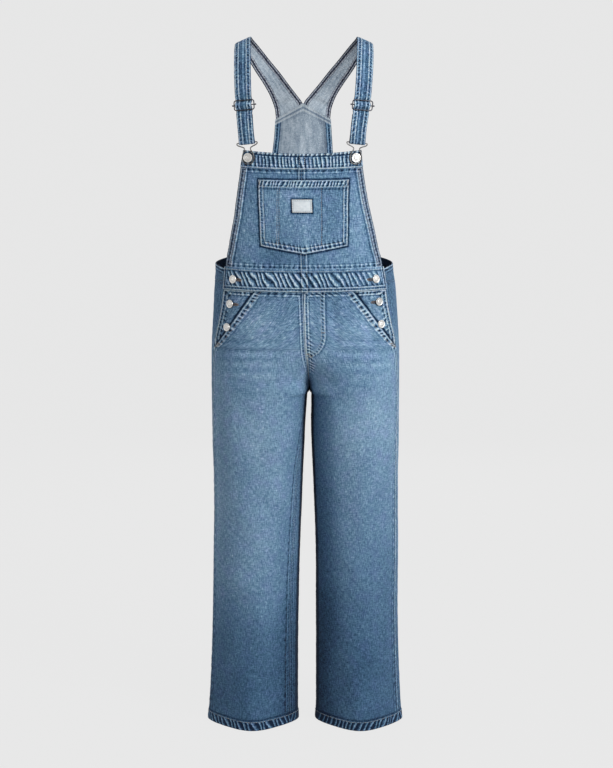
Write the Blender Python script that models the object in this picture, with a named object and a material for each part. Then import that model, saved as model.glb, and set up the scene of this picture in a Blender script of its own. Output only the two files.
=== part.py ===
# Denim bib overalls, hollow and standing in the shape of a wearer who is not there.
# Lengths in the tables are millimetres; heights are measured up from the hem line.
# x is across (wearer's left is +x), the front faces -y.
import math

import bmesh
import bpy
import numpy as np
from mathutils import Vector

for old in list(bpy.data.objects):
    bpy.data.objects.remove(old, do_unlink=True)

# ---- driving sizes, mm ----
hold_height = 1378.0       # where the shoulders carry the straps; the origin
wall = 1.5                 # one thickness of denim
gap = 0.3                  # air between neighbouring pieces
crotch_height = 697.0
panel_top = 909.0          # top edge of the four leg panels, under the waistband
upper_bottom = 909.8       # bottom edge of the bib and the back piece, just above them
hem_dip = 3.0              # how far each leg hem sags at its front
band_bottom = 892.8
band_top = 938.5
band_thick = 2.0
band_past_seam = 0.4       # degrees of turn that the waistband's ends run past the side seams
bib_top = 1160.0
top_band_bottom = 1130.0
top_band_thick = 1.5
seam_half = 6.0            # half width of the felled seam up the bib
seam_rise = 0.8
edge_hem = 13.0            # width of the hem down each bib edge
edge_rise = 0.9
leg_hem = 15.0
leg_hem_rise = 0.8
pocket_thick = 1.1
pocket_top = 1108.5
pocket_corner = 982.0
pocket_tip = 967.5
pocket_hem = 15.0
pocket_hem_rise = 0.7
pocket_half_width = 84.5   # at its bottom corners; it widens upwards and leans a little
pocket_widening = 2.9
pocket_centre = 1.3
pocket_lean = 2.3
label_thick = 1.0
slant_top_x = 97.0         # hip pocket opening meets the waistband here
slant_bottom = 776.0       # and the side seam here
facing_tuck = 14.0         # hip facing runs this far under the opening
facing_gap = 0.9
strap_thick = 2.4
bar_air = 0.55             # between the strap's loop and the hook bar
wire_radius = 1.1
hook_rise = 29.0           # button centre up to the hook's strap bar
hook_bar_half = 15.4       # half the strap's width where it turns round the hook bar
slider_height = 1248.0
slider_shift = 1.0         # the sliders hang a little to +x on their straps
slider_clear = 19.0        # the strap's end stops this far under the slider
strap_return = 0.6         # air between the strap and its turned-up end
weave_depth = 2.75         # strap off the slider's wires, in front of the bar and behind the frame
bib_button_x = 102.7
bib_button_height = 1149.1
bib_button = (4.0, 9.2, 2.4)       # shank radius, cap radius, cap thickness
side_button = (3.2, 8.2, 2.2)
side_shank = 1.4
label_half_width = 20.2
label_bottom = 1047.0
label_top = 1073.7

# ---- sections up the garment ----
# outer: side of the ring; front, back: its depth to each face
# square: above 0 a squarer ring, below 0 a leaf shape with the seams at its tips
ring_columns = ("height", "outer", "front", "back", "square")
ring_rows = (
    (-4, 202.2, 80, 80, -0.066),
    (41, 198.6, 80, 80, -0.062),
    (110, 194.9, 79, 79, -0.055),
    (178, 192.3, 79, 79, -0.048),
    (246, 190.7, 79, 79, -0.040),
    (314, 190.0, 80, 81, -0.032),
    (381, 189.4, 82, 84, -0.024),
    (448, 188.2, 85, 88, -0.016),
    (515, 188.2, 89, 94, -0.008),
    (581, 189.6, 94, 101, 0.0),
    (640, 189.8, 99, 108, 0.010),
    (700, 190.0, 105, 116, 0.018),
    (760, 189.7, 111, 121, 0.025),
    (820, 187.0, 115, 121, 0.025),
    (850, 185.0, 116, 118, 0.025),
    (885, 182.8, 117, 111, 0.025),
    (912, 180.2, 118, 104, 0.025),
    (939, 177.6, 118, 98, 0.025),
    (975, 178.5, 118, 93, 0.025),
    (1040, 184.0, 117, 91, 0.025),
    (1100, 191.0, 115, 93, 0.025),
    (1160, 200.0, 113, 95, 0.025),
    (1275, 205.0, 112, 98, 0.025),
)
# crest: where each ring is deepest; inner: half the leg gap, and below 0 the ring runs past the
# middle and is cut there, which draws the rise; bow: 1 round, less where the thighs press flat
inner_columns = ("height", "crest", "inner", "bow")
inner_rows = (
    (-4, 110, 17.6, 1.0),
    (41, 109, 18.6, 1.0),
    (178, 106, 18.4, 1.0),
    (246, 105, 17.6, 1.0),
    (314, 104, 17.0, 1.0),
    (381, 102, 15.4, 1.0),
    (448, 101, 12.8, 1.0),
    (515, 100, 10.2, 0.94),
    (581, 98, 7.1, 0.84),
    (640, 95, 5.0, 0.76),
    (675, 91, 2.2, 0.68),
    (697, 88, 0.0, 0.64),
    (700, 87, -0.3, 0.66),
    (705, 85.5, -1.2, 0.70),
    (712, 83, -4.0, 0.78),
    (727, 76, -14.0, 0.90),
    (745, 66, -34.0, 1.0),
    (776, 46, -92.0, 1.0),
    (800, 29, -128.0, 1.0),
    (830, 11, -168.0, 1.0),
    (860, 0, -184.3, 1.0),
)
# turn of the side seam and the inseam round each leg, degrees from the outer side
seam_columns = ("height", "side_right", "side_left", "inseam_right", "inseam_left")
seam_rows = (
    (-4, 5, 17, 150, 175),
    (300, 6, 19, 148, 175),
    (520, 11, 20, 150, 176),
    (620, 14, 20, 160, 178),
    (680, 16, 19.5, 174, 179.3),
    (697, 16.5, 19.5, 180, 180),
    (776, 19.8, 21.8, 180, 180),
    (830, 26.1, 27.1, 180, 180),
    (869, 29.5, 29.9, 180, 180),
    (893, 30.9, 31.0, 180, 180),
    (945, 32.4, 32.4, 180, 180),
)
# half width of the bib, and how the whole garment drifts off the axis
bib_rows = ((900, 150.0), (936, 154.0), (954, 151.4), (973, 146.7), (1005, 140.3),
            (1036, 133.5), (1067, 127.8), (1098, 122.5), (1129, 117.8), (1163, 113.2))
lean_rows = ((0, 0.0), (200, 0.4), (420, 2.0), (560, 1.4), (700, 0.8), (840, 0.8), (893, 0.3),
             (934, -1.5), (973, -3.0), (1036, -4.4), (1067, -5.9), (1129, -6.3), (1163, -5.0),
             (1208, -4.0), (1266, -4.0), (1314, -2.6), (1390, -1.8))
drift_rows = ((0, 4.0), (400, 4.2), (600, 5.0), (690, 8.0), (745, 4.0), (776, 0.2), (820, -1.6),
              (880, -3.2), (908, -0.6), (925, 0.0))
droop_rows = ((760, 0.0), (889, 3.0), (930, 4.6), (1000, 4.4), (1105, 3.2), (1130, 5.0), (1160, 8.0))
droop_half_rows = ((760, 190.0), (939, 178.0), (975, 150.0), (1040, 133.0), (1160, 114.0))
# the back piece at the waist: turn of its front edges, then of the curve up to the armholes
# columns: height, turn
low_back_rows = ((upper_bottom, 33.2), (924.0, 32.8), (934.0, 32.0), (937.5, 22.0), (941.5, 4.0),
                 (946.5, -16.0))
# the back: half width along the edge, and how far the middle rises to the point
# columns: height, edge, rise
back_rows = (
    (951, 157.0, 0),
    (963, 144.5, 0),
    (983, 131.0, 0),
    (1010, 118.0, 0),
    (1045, 99.0, 0),
    (1085, 81.0, 0),
    (1125, 68.0, 3),
    (1165, 62.0, 10),
    (1198, 59.0, 20),
    (1231, 57.0, 33),
)
# big soft folds: middle line from one end to the other, breadth, depth (in is +)
# columns: face, x0, height0, x1, height1, breadth, depth
fold_rows = (
    ("front", 58, 862, 60, 790, 11, 2.6),
    ("front", 122, 826, 152, 758, 13, 3.0),
    ("front", 32, 720, 66, 668, 15, 2.2),
    ("front", -30, 716, -72, 664, 15, 2.4),
    ("front", -88, 978, -48, 944, 24, 1.8),
    ("front", -112, 1062, -120, 1008, 20, 1.8),
    ("front", 96, 1040, 118, 985, 20, 1.4),
    ("front", -118, 640, -96, 470, 26, 3.0),
    ("front", -66, 430, -112, 330, 24, 3.2),
    ("front", 70, 560, 92, 380, 26, 2.8),
    ("front", 142, 470, 118, 340, 22, 2.6),
    ("front", -132, 250, -98, 90, 24, 3.0),
    ("front", 104, 240, 128, 70, 24, 3.0),
    ("front", -62, 150, -70, 20, 18, 2.4),
    ("back", -60, 812, -20, 760, 18, 3.5),
    ("back", 58, 806, 22, 752, 18, 3.5),
    ("back", -120, 700, -70, 668, 18, 5.0),
    ("back", 122, 704, 72, 664, 18, 5.0),
    ("back", -128, 660, -58, 628, 16, 3.6),
    ("back", 126, 655, 60, 620, 16, 3.6),
    ("back", -150, 385, -66, 350, 20, 4.6),
    ("back", 148, 392, 70, 352, 20, 4.6),
    ("back", -138, 300, -60, 322, 18, 3.2),
    ("back", 60, 296, 140, 318, 18, 3.2),
    ("back", -50, 935, -44, 985, 22, 2.0),
    ("back", 52, 938, 46, 990, 22, 2.0),
)
# strap edges in the right half, from the back end over the shoulder to the slider
# columns: inner_x, inner_y, inner_h, outer_x, outer_y, outer_h
strap_rows = (
    (0.9, 99.5, 1254.0, 55.0, 94.5, 1225.5),
    (2.4, 99.5, 1266.0, 56.2, 94.3, 1239.0),
    (12.3, 98.5, 1279.0, 58.6, 93.5, 1255.0),
    (30.5, 93.5, 1301.1, 67.4, 88.5, 1277.8),
    (48.5, 83, 1323.8, 81.3, 78, 1301.1),
    (68.3, 67, 1346.3, 96.9, 64, 1323.4),
    (88.6, 46, 1370.2, 113.5, 46, 1349.0),
    (101.3, 20, 1383.2, 128.6, 24, 1367.0),
    (104.4, -6, 1385.6, 134.5, -6, 1372.4),
    (104.2, -36, 1373.0, 135.4, -33, 1361.5),
    (102.7, -66, 1345.0, 134.9, -59, 1338.6),
    (101.2, -88.6, 1303.0, 133.2, -79.6, 1299.0),
    (98.4, -101.2, 1252.0, 129.6, -91.2, 1250.0),
)
back_rows_on_panel = 3     # strap rows that lie on the back piece

# hook and slider wires, seen square on; u across, v up
hook_right_half = ((0, 29.0), (10, 29.0), (18.2, 29.0), (19.9, 28.3), (20.3, 26.6), (18.9, 24.9),
                   (15.6, 23.2), (10.8, 21.4), (7.3, 19.6), (6.1, 17.2), (6.2, 14.6), (7.8, 11.6),
                   (9.9, 8.0), (11.2, 3.6), (11.4, -1.2), (10.4, -5.6), (7.9, -9.2), (4.3, -11.2),
                   (0, -11.8))
slider_half = (20.2, 9.6, 4.2)   # half width, half height, corner radius
slider_knob = 24.8

# small buttons: place on the front, and how far their feet stand off the garment's surface
# columns: name, side, x, height, base
button_rows = (
    ("waist", -1, 137.5, 915.0, gap + band_thick + gap),
    ("waist", 1, 137.0, 915.5, gap + band_thick + gap),
    ("hip_upper", -1, 145.5, 865.5, gap),
    ("hip_upper", 1, 145.0, 870.0, gap),
    ("hip_lower", -1, 152.5, 819.0, gap),
    ("hip_lower", 1, 150.0, 825.5, -0.6),
)

leg_heights = (-3.0, 13.6, 15.2, 80, 160, 240, 320, 400, 470, 530, 580, 625, 660, 684,
               697, 700, 705, 712, 727, 745, 776, 779, 802, 830, 868, 909)
thigh_x = 57.0             # a column of every panel stands here; the rise starts inside it
front_split = (6, 5)       # columns outside and inside thigh_x, front and back panels
back_split = (7, 6)
back_upper_columns = 18


def column(rows, height, index=1):
    """Value of one table column at a height, eased between its rows."""
    keys = [row[0] for row in rows]
    values = [float(row[index]) for row in rows]
    if height <= keys[0]:
        return values[0]
    if height >= keys[-1]:
        return values[-1]
    i = int(np.searchsorted(keys, height, side="right")) - 1
    spans = [keys[j + 1] - keys[j] for j in range(len(keys) - 1)]
    slopes = [(values[j + 1] - values[j]) / spans[j] for j in range(len(spans))]

    def tangent(j):
        if j == 0 or j == len(keys) - 1:
            return slopes[min(j, len(slopes) - 1)]
        if slopes[j - 1] * slopes[j] <= 0:
            return 0.0
        return 2 * slopes[j - 1] * slopes[j] / (slopes[j - 1] + slopes[j])

    t = (height - keys[i]) / spans[i]
    m0 = tangent(i) * spans[i]
    m1 = tangent(i + 1) * spans[i]
    a = 2 * t ** 3 - 3 * t ** 2 + 1
    b = t ** 3 - 2 * t ** 2 + t
    return a * values[i] + b * m0 + (1 - a) * values[i + 1] + (t ** 3 - t ** 2) * m1


def ring_value(name, height):
    return column(ring_rows, height, ring_columns.index(name))


def inner_value(name, height):
    return column(inner_rows, height, inner_columns.index(name))


def bell(distance, breadth):
    return math.exp(-(distance / breadth) ** 2)


def fold_depth(face, x, height):
    """Sum of the folds of one face at a point."""
    total = 0.0
    for row_face, x0, h0, x1, h1, breadth, depth in fold_rows:
        if row_face != face:
            continue
        dx, dh = x1 - x0, h1 - h0
        t = ((x - x0) * dx + (height - h0) * dh) / (dx * dx + dh * dh)
        t = min(1.0, max(0.0, t))
        distance = math.hypot(x - x0 - t * dx, height - h0 - t * dh)
        total += depth * bell(distance, breadth)
    return total


def warp(x, y, height):
    """Drift, lean and sag that the whole garment shares."""
    front = min(1.0, max(0.0, -y / 100.0))
    middle = max(0.0, 1.0 - (x / 190.0) ** 2)
    x_new = x + column(drift_rows, height) * middle + column(lean_rows, height)
    half = column(droop_half_rows, height)
    sag = column(droop_rows, height) * max(0.0, 1.0 - (x / half) ** 2) * front
    sag += hem_dip * front * max(0.0, 1.0 - height / 120.0)
    return Vector((x_new, y, height - sag))


def ring_x(turn, height):
    outer = ring_value("outer", height)
    crest = inner_value("crest", height)
    inner = inner_value("inner", height) if height < inner_rows[-1][0] else -outer
    square = ring_value("square", height)
    r = math.radians(turn)
    shape = (math.cos(r) - square * math.cos(3 * r)) / (1 - square)
    if shape < 0:
        return crest - (crest - inner) * (-shape) ** inner_value("bow", height)
    return crest + (outer - crest) * shape


def ring_y(turn, height):
    r = math.radians(turn)
    square = ring_value("square", height)
    depth = ring_value("front" if math.sin(r) >= 0 else "back", height)
    return -depth * (math.sin(r) + square * math.sin(3 * r)) / (1 - square)


def body(side, turn, height):
    """Point of the outer cloth surface; side is -1 or 1, turn 0 outer, 90 front."""
    r = math.radians(turn)
    x = ring_x(turn, height)
    y = ring_y(turn, height)
    face = "front" if math.sin(r) >= 0 else "back"
    push = fold_depth(face, side * x, height) * min(1.0, abs(math.sin(r)) * 2.0)
    x -= push * math.cos(r) * 0.6
    y += push * math.sin(r)
    return warp(side * x, y, height)


def spot(side, turn, height):
    """Surface point with its outward normal."""
    along = body(side, turn + 0.4, height) - body(side, turn - 0.4, height)
    up = body(side, turn, height + 0.8) - body(side, turn, height - 0.8)
    normal = up.cross(along) * side
    return body(side, turn, height), normal.normalized()


def turn_at(x, height):
    """Turn at which the front half of a ring passes x, measured from the middle."""
    low, high = 0.0, 180.0
    for _ in range(40):
        mid = (low + high) / 2
        if ring_x(mid, height) > x:
            low = mid
        else:
            high = mid
    return (low + high) / 2


def front_spot(x, height):
    side = 1 if x >= 0 else -1
    return spot(side, turn_at(abs(x), height), height)


def back_spot(x, height):
    side = 1 if x >= 0 else -1
    return spot(side, -turn_at(abs(x), height), height)


def world(point):
    return Vector((point[0], point[1], point[2] - hold_height)) * 0.001


def spread(start, stop, count):
    return [start + (stop - start) * i / count for i in range(count + 1)]


def even_turns(start, stop, height, count):
    """Turns that divide a stretch of a ring into equal lengths of cloth."""
    fine = spread(start, stop, 60)
    places = [(ring_x(turn, height), ring_y(turn, height)) for turn in fine]
    length = [0.0]
    for a, b in zip(places, places[1:]):
        length.append(length[-1] + math.dist(a, b))
    return [float(np.interp(s, length, fine)) for s in spread(0.0, length[-1], count)]


# ---- materials ----
def material(name, colour, roughness, metallic=0.0):
    mat = bpy.data.materials.new(name)
    mat.use_nodes = True
    shader = mat.node_tree.nodes["Principled BSDF"]
    shader.inputs["Base Color"].default_value = (*colour, 1.0)
    shader.inputs["Roughness"].default_value = roughness
    shader.inputs["Metallic"].default_value = metallic
    return mat


denim = (0.145, 0.245, 0.40)
denim_light = (0.22, 0.33, 0.49)
denim_dark = (0.10, 0.17, 0.29)
label_white = (0.80, 0.82, 0.83)
silver = (0.78, 0.78, 0.76)
steel = (0.30, 0.30, 0.31)


def add_object(name, bm, colour, roughness=0.85, metallic=0.0):
    bmesh.ops.triangulate(bm, faces=bm.faces[:], quad_method="BEAUTY")
    bmesh.ops.recalc_face_normals(bm, faces=bm.faces[:])
    mesh = bpy.data.meshes.new(name)
    bm.to_mesh(mesh)
    bm.free()
    mesh.materials.append(material(name + "_surface", colour, roughness, metallic))
    mesh.shade_smooth()
    mesh.set_sharp_from_angle(angle=math.radians(35))
    obj = bpy.data.objects.new(name, mesh)
    bpy.context.scene.collection.objects.link(obj)
    return obj


def cloth(name, rows, low, high, colour):
    """Closed wall of cloth over a grid of (point, normal), from low to high along the normal."""
    bm = bmesh.new()
    last_row, last_col = len(rows) - 1, len(rows[0]) - 1
    skins = []
    for level in (high, low):
        skin = []
        for r, row in enumerate(rows):
            line = []
            for c, (point, normal) in enumerate(row):
                offset = level(r, c) if callable(level) else level
                line.append(bm.verts.new(world(point + normal * offset)))
            skin.append(line)
        skins.append(skin)
    top, under = skins
    for r in range(last_row):
        for c in range(last_col):
            bm.faces.new((top[r][c], top[r][c + 1], top[r + 1][c + 1], top[r + 1][c]))
            bm.faces.new((under[r][c], under[r + 1][c], under[r + 1][c + 1], under[r][c + 1]))
    for r in range(last_row):
        bm.faces.new((top[r][0], top[r + 1][0], under[r + 1][0], under[r][0]))
        bm.faces.new((top[r + 1][last_col], top[r][last_col], under[r][last_col], under[r + 1][last_col]))
    for c in range(last_col):
        bm.faces.new((top[0][c + 1], top[0][c], under[0][c], under[0][c + 1]))
        bm.faces.new((top[last_row][c], top[last_row][c + 1], under[last_row][c + 1], under[last_row][c]))
    return add_object(name, bm, colour)


def side_name(side):
    return "right" if side < 0 else "left"


# ---- trouser panels ----
def seam_turns(side, height):
    """Side seam turn, and the turns where front and back panels end inwards."""
    tag = side_name(side)
    side_turn = column(seam_rows, height, seam_columns.index("side_" + tag))
    if height > crotch_height:
        end = turn_at(gap / 2, height)
        return side_turn, end, -end
    inseam = min(column(seam_rows, height, seam_columns.index("inseam_" + tag)), 179.6)
    return side_turn, inseam, inseam - 360.0


def edge_turn(height, distance=gap / 2):
    """Turn that is a short distance along the ring near the outer side."""
    return math.degrees(distance / ring_value("front", height))


def slant_x(height):
    """Line of the hip pocket opening."""
    end_x = ring_x(seam_turns(1, slant_bottom)[0], slant_bottom)
    share = (height - slant_bottom) / (band_bottom - slant_bottom)
    return end_x + (slant_top_x - end_x) * share


def hem_rise(height):
    return leg_hem_rise if height < leg_hem - 1 else 0.0


def leg_row(side, height, start, end, face, counts):
    """One row of a leg panel, with a column kept at thigh_x."""
    middle = turn_at(thigh_x, height) * face
    turns = even_turns(start, middle, height, counts[0]) + even_turns(middle, end, height, counts[1])[1:]
    return [spot(side, turn, height) for turn in turns]


def front_leg(side):
    rows = []
    for height in leg_heights:
        side_turn, end, _ = seam_turns(side, height)
        start = side_turn + edge_turn(height)
        if height > slant_bottom:
            start = turn_at(slant_x(height), height)
        if height <= crotch_height:
            end -= edge_turn(height)
        rows.append(leg_row(side, height, start, end, 1, front_split))
    cloth("front_leg_" + side_name(side), rows, -wall, lambda r, c: hem_rise(leg_heights[r]), denim)


def back_leg(side):
    rows = []
    for height in leg_heights:
        side_turn, _, end = seam_turns(side, height)
        start = side_turn - edge_turn(height)
        if height <= crotch_height:
            end += edge_turn(height)
        rows.append(leg_row(side, height, start, end, -1, back_split))
    cloth("back_leg_" + side_name(side), rows, -wall, lambda r, c: hem_rise(leg_heights[r]), denim)


def hip_facing(side):
    """Piece behind the slanted opening; it rises to the back panel at the side edge."""
    heights = [h for h in leg_heights if h > slant_bottom + 1]
    rows = []
    lifts = []
    for height in heights:
        side_turn = seam_turns(side, height)[0] + edge_turn(height)
        inner = turn_at(slant_x(height) - facing_tuck, height)
        mouth = turn_at(slant_x(height) + 0.6, height)
        turns = spread(inner, mouth, 2) + spread(mouth, side_turn, 6)[1:]
        rows.append([spot(side, turn, height) for turn in turns])
        line = []
        for turn in turns:
            clear = max(0.0, ring_x(turn, height) - slant_x(height) - 1.5)
            line.append(-wall - facing_gap + min(wall + facing_gap, 0.3 * clear))
        lifts.append(line)
    cloth("hip_facing_" + side_name(side), rows, lambda r, c: lifts[r][c] - wall,
          lambda r, c: lifts[r][c], denim_dark)


# ---- back piece ----
def back_upper():
    rows = []
    for height, turn in low_back_rows:
        line = []
        for t in spread(-1.0, 1.0, back_upper_columns):
            side = 1 if t >= 0 else -1
            line.append(spot(side, -90.0 + (90.0 + turn) * abs(t), height))
        rows.append(line)
    for height, edge, rise in back_rows:
        line = []
        end = turn_at(edge, height)
        for t in spread(-1.0, 1.0, back_upper_columns):
            side = 1 if t >= 0 else -1
            lift = rise * (1.0 - abs(t))
            line.append(spot(side, -90.0 + (90.0 - end) * abs(t), height + lift))
        rows.append(line)
    cloth("back_upper", rows, -wall, 0.0, denim)


# ---- bib and its layers ----
def bib_columns(height):
    edge = column(bib_rows, height)
    inner = [gap / 2, seam_half - 0.4, seam_half + 0.4]
    middle = spread(seam_half + 0.4, edge - edge_hem - 0.4, 7)[1:]
    return inner + middle + [edge - edge_hem + 0.4, edge]


def bib_half(side):
    heights = [upper_bottom, 938.4, 939.4, 962, 990, 1018, 1046, 1074, 1102, 1129.0, 1130.2, bib_top]
    rows = []
    for height in heights:
        rows.append([front_spot(side * x, height) for x in bib_columns(height)])
    last = len(rows[0]) - 1

    def high(r, c):
        if not band_top + 0.5 < heights[r] < top_band_bottom - 0.5:
            return 0.0
        if c < 2:
            return seam_rise
        return edge_rise if c > last - 2 else 0.0

    cloth("bib_" + side_name(side), rows, -wall, high, denim_light)


def seam_lift(x):
    """Clear height over the felled seam, eased away to each side."""
    clear = (abs(x) - seam_half - 2.0) / 8.0
    return gap + seam_rise * (1.0 - min(1.0, max(0.0, clear)))


def bib_top_band():
    heights = (top_band_bottom, 1145, bib_top + 0.6)
    rows = []
    for height in heights:
        edge = column(bib_rows, height) + 0.3
        rows.append([front_spot(x, height) for x in spread(-edge, edge, 24)])
    cloth("bib_top_band", rows, gap, gap + top_band_thick, denim_light)


def pocket_grid():
    """Rows of the pocket as shares of its height, with the step of its top hem."""
    hem = 1.0 - pocket_hem / (pocket_top - pocket_corner)
    heights = (0.0, 0.12, 0.3, 0.5, 0.7, hem - 0.01, hem, 1.0)
    rows = []
    offsets = []
    for share in heights:
        height = pocket_corner + (pocket_top - pocket_corner) * share
        centre = pocket_centre + pocket_lean * share
        half = pocket_half_width + pocket_widening * share
        point = (pocket_tip - pocket_corner) * (1.0 - share) ** 2
        line = []
        levels = []
        for t in spread(-1.0, 1.0, 16):
            x = centre + half * t
            line.append(front_spot(x, height + point * (1.0 - abs(t))))
            levels.append(seam_lift(x))
        rows.append(line)
        offsets.append(levels)
    return heights, rows, offsets


def bib_pocket():
    heights, rows, offsets = pocket_grid()

    def high(r, c):
        hem = pocket_hem_rise if r > len(heights) - 3 else 0.0
        return offsets[r][c] + pocket_thick + hem

    cloth("bib_pocket", rows, lambda r, c: offsets[r][c], high, denim_light)


def bib_label():
    rows = []
    offsets = []
    for height in spread(label_bottom, label_top, 3):
        xs = spread(-label_half_width, label_half_width, 8)
        rows.append([front_spot(x, height) for x in xs])
        offsets.append([seam_lift(x) + pocket_thick + gap for x in xs])
    cloth("bib_label", rows, lambda r, c: offsets[r][c], lambda r, c: offsets[r][c] + label_thick,
          label_white)


def waistband():
    heights = (band_bottom, 908, 923, band_top)
    rows = []
    for height in heights:
        end = seam_turns(1, height)[0] - band_past_seam
        line = []
        for t in spread(-1.0, 1.0, 32):
            side = 1 if t >= 0 else -1
            line.append(spot(side, 90.0 - (90.0 - end) * abs(t), height))
        rows.append(line)
    cloth("waistband", rows, gap, gap + band_thick, denim)


# ---- straps, hooks, sliders, buttons ----
def frame_at(point, normal, tilt=0.0):
    """Axes on the cloth: across, up, out, turned by tilt degrees about out."""
    up = Vector((0, 0, 1)) - normal * normal.z
    up.normalize()
    across = up.cross(normal)
    r = math.radians(tilt)
    new_up = up * math.cos(r) + across * math.sin(r)
    return point, new_up.cross(normal), new_up, normal


def place(frame, u, v, n):
    point, across, up, out = frame
    return point + across * u + up * v + out * n


def bib_button_frame(side):
    point, normal = front_spot(side * bib_button_x, bib_button_height)
    return frame_at(point, normal, tilt=5.0 * side)


def wire_level():
    return gap + top_band_thick + gap + wire_radius


def strap_path(side):
    """Edge rows of the strap's middle surface from its back end to the hook bar."""
    rows = []
    for ix, iy, ih, ox, oy, oh in strap_rows:
        rows.append((Vector((ix, iy, ih)), Vector((ox, oy, oh))))
    frame = bib_button_frame(side)
    turn = wire_radius + bar_air + strap_thick / 2
    ends = []
    for rise in (hook_rise + 30.0, hook_rise):
        pair = []
        for u in (-hook_bar_half, hook_bar_half):
            pair.append(place(frame, u * side, rise, wire_level() + turn))
        ends.append(tuple(pair))
    placed = []
    for i, (a, b) in enumerate(rows):
        pair = []
        for p in (a, b):
            q = warp(side * p.x, 0.0, p.z)
            q.y = p.y
            pair.append(q)
        placed.append(tuple(pair))
    return placed + ends


def spline(points, count_per_span):
    """Smooth curve through points."""
    result = []
    for i in range(len(points) - 1):
        p0 = points[max(0, i - 1)]
        p1, p2 = points[i], points[i + 1]
        p3 = points[min(len(points) - 1, i + 2)]
        for k in range(count_per_span):
            t = k / count_per_span
            a = p1 * 2
            b = (p2 - p0) * t
            c = (p0 * 2 - p1 * 5 + p2 * 4 - p3) * t * t
            d = (p1 * 3 - p0 - p2 * 3 + p3) * t ** 3
            result.append((a + b + c + d) * 0.5)
    result.append(points[-1])
    return result


def strap(side):
    path = strap_path(side)
    inner = spline([pair[0] for pair in path], 4)
    outer = spline([pair[1] for pair in path], 4)
    columns = 4
    centre = [(a + b) / 2 for a, b in zip(inner, outer)]
    length = [0.0]
    for i in range(1, len(centre)):
        length.append(length[-1] + (centre[i] - centre[i - 1]).length)
    total = length[-1]

    def edges(s):
        s = min(max(s, 0.0), total)
        i = min(int(np.searchsorted(length, s, side="right")) - 1, len(length) - 2)
        i = max(i, 0)
        t = (s - length[i]) / (length[i + 1] - length[i])
        return inner[i].lerp(inner[i + 1], t), outer[i].lerp(outer[i + 1], t)

    def axes(s):
        a, b = edges(s)
        a0, b0 = edges(s - 3.0)
        a1, b1 = edges(s + 3.0)
        down = ((a1 + b1) - (a0 + b0)).normalized()
        out = down.cross(b - a) * side
        return a, b, down, out.normalized()

    def crown(s, t):
        far = min(abs(s - s_mid) - 16.0, total - s, s - on_back)
        return (1 - (2 * t - 1) ** 2) * min(1.0, max(0.0, far / 14.0))

    # where along the strap the slider sits
    front = [i for i in range(len(centre)) if centre[i].y < 0]
    middle = min(front, key=lambda i: abs(centre[i].z - slider_height))
    s_mid = length[middle] + (centre[middle].z - slider_height)
    on_back = length[4 * (back_rows_on_panel - 1)]
    weave = {}
    for away, lift in ((15.0, -0.4), (11.4, -weave_depth), (7.8, -weave_depth), (2.2, weave_depth)):
        weave[-away] = lift
        weave[away] = lift
    stations = spread(0.0, s_mid - 15.0, 28)[:-1]
    stations += [s_mid + d for d in sorted(weave)]
    stations += spread(s_mid + 15.0, total, 6)[1:]
    lifts = {round(s_mid + d, 4): v for d, v in weave.items()}
    rows = []
    for s in stations:
        a, b, down, out = axes(s)
        line = []
        for t in spread(0.0, 1.0, columns):
            p = a.lerp(b, t)
            if s <= on_back + 0.01:
                x = p.x - column(lean_rows, p.z)
                base, normal = back_spot(x, p.z)
                q = base + normal * (gap + 0.3 + strap_thick / 2)
                p = Vector((p.x, q.y, p.z))
            else:
                p = p + out * crown(s, t)
            p = p + out * lifts.get(round(s, 4), 0.0)
            line.append(p)
        rows.append(line)
    # round the hook bar and back up behind
    a, b, down, out = axes(total)
    turn = wire_radius + bar_air + strap_thick / 2
    for angle in (30, 60, 90, 120, 150, 180):
        r = math.radians(angle)
        move = out * (turn * (math.cos(r) - 1)) + down * (turn * math.sin(r))
        rows.append([a.lerp(b, t) + move for t in spread(0.0, 1.0, columns)])
    start = total
    stop = s_mid + slider_clear
    for s in spread(start, stop, 5)[1:]:
        a, b, down, out = axes(s)
        near = max(0.0, 1.0 - (start - s) / 14.0)
        back_off = -(strap_thick + strap_return) * (1 - near) - 2 * turn * near
        rows.append([a.lerp(b, t) + out * (back_off + crown(s, t)) for t in spread(0.0, 1.0, columns)])
    grid = []
    for i, row in enumerate(rows):
        before = rows[max(0, i - 1)]
        after = rows[min(len(rows) - 1, i + 1)]
        line = []
        for c, p in enumerate(row):
            left = row[max(0, c - 1)]
            right = row[min(columns, c + 1)]
            normal = (after[c] - before[c]).cross(right - left) * side
            line.append((p, normal.normalized()))
        grid.append(line)
    cloth("strap_" + side_name(side), grid, -strap_thick / 2, strap_thick / 2, denim)
    a, b, down, out = axes(s_mid)
    across = (b - a).normalized() * side
    return (a + b) / 2 + across * slider_shift, across, -down, out


def wire_mesh(points, radius, out, closed, sides=6):
    """Round wire along a flat path."""
    bm = bmesh.new()
    loops = []
    count = len(points)
    for i, p in enumerate(points):
        before = points[i - 1] if (closed or i) else p
        after = points[(i + 1) % count] if (closed or i < count - 1) else p
        along = (after - before).normalized()
        lateral = along.cross(out).normalized()
        ring = []
        for k in range(sides):
            r = 2 * math.pi * k / sides
            ring.append(bm.verts.new(world(p + (lateral * math.cos(r) + out * math.sin(r)) * radius)))
        loops.append(ring)
    pairs = list(zip(loops, loops[1:]))
    if closed:
        pairs.append((loops[-1], loops[0]))
    for ring_a, ring_b in pairs:
        for k in range(sides):
            n = (k + 1) % sides
            bm.faces.new((ring_a[k], ring_a[n], ring_b[n], ring_b[k]))
    if not closed:
        bm.faces.new(loops[0])
        bm.faces.new(loops[-1])
    return bm


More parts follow.
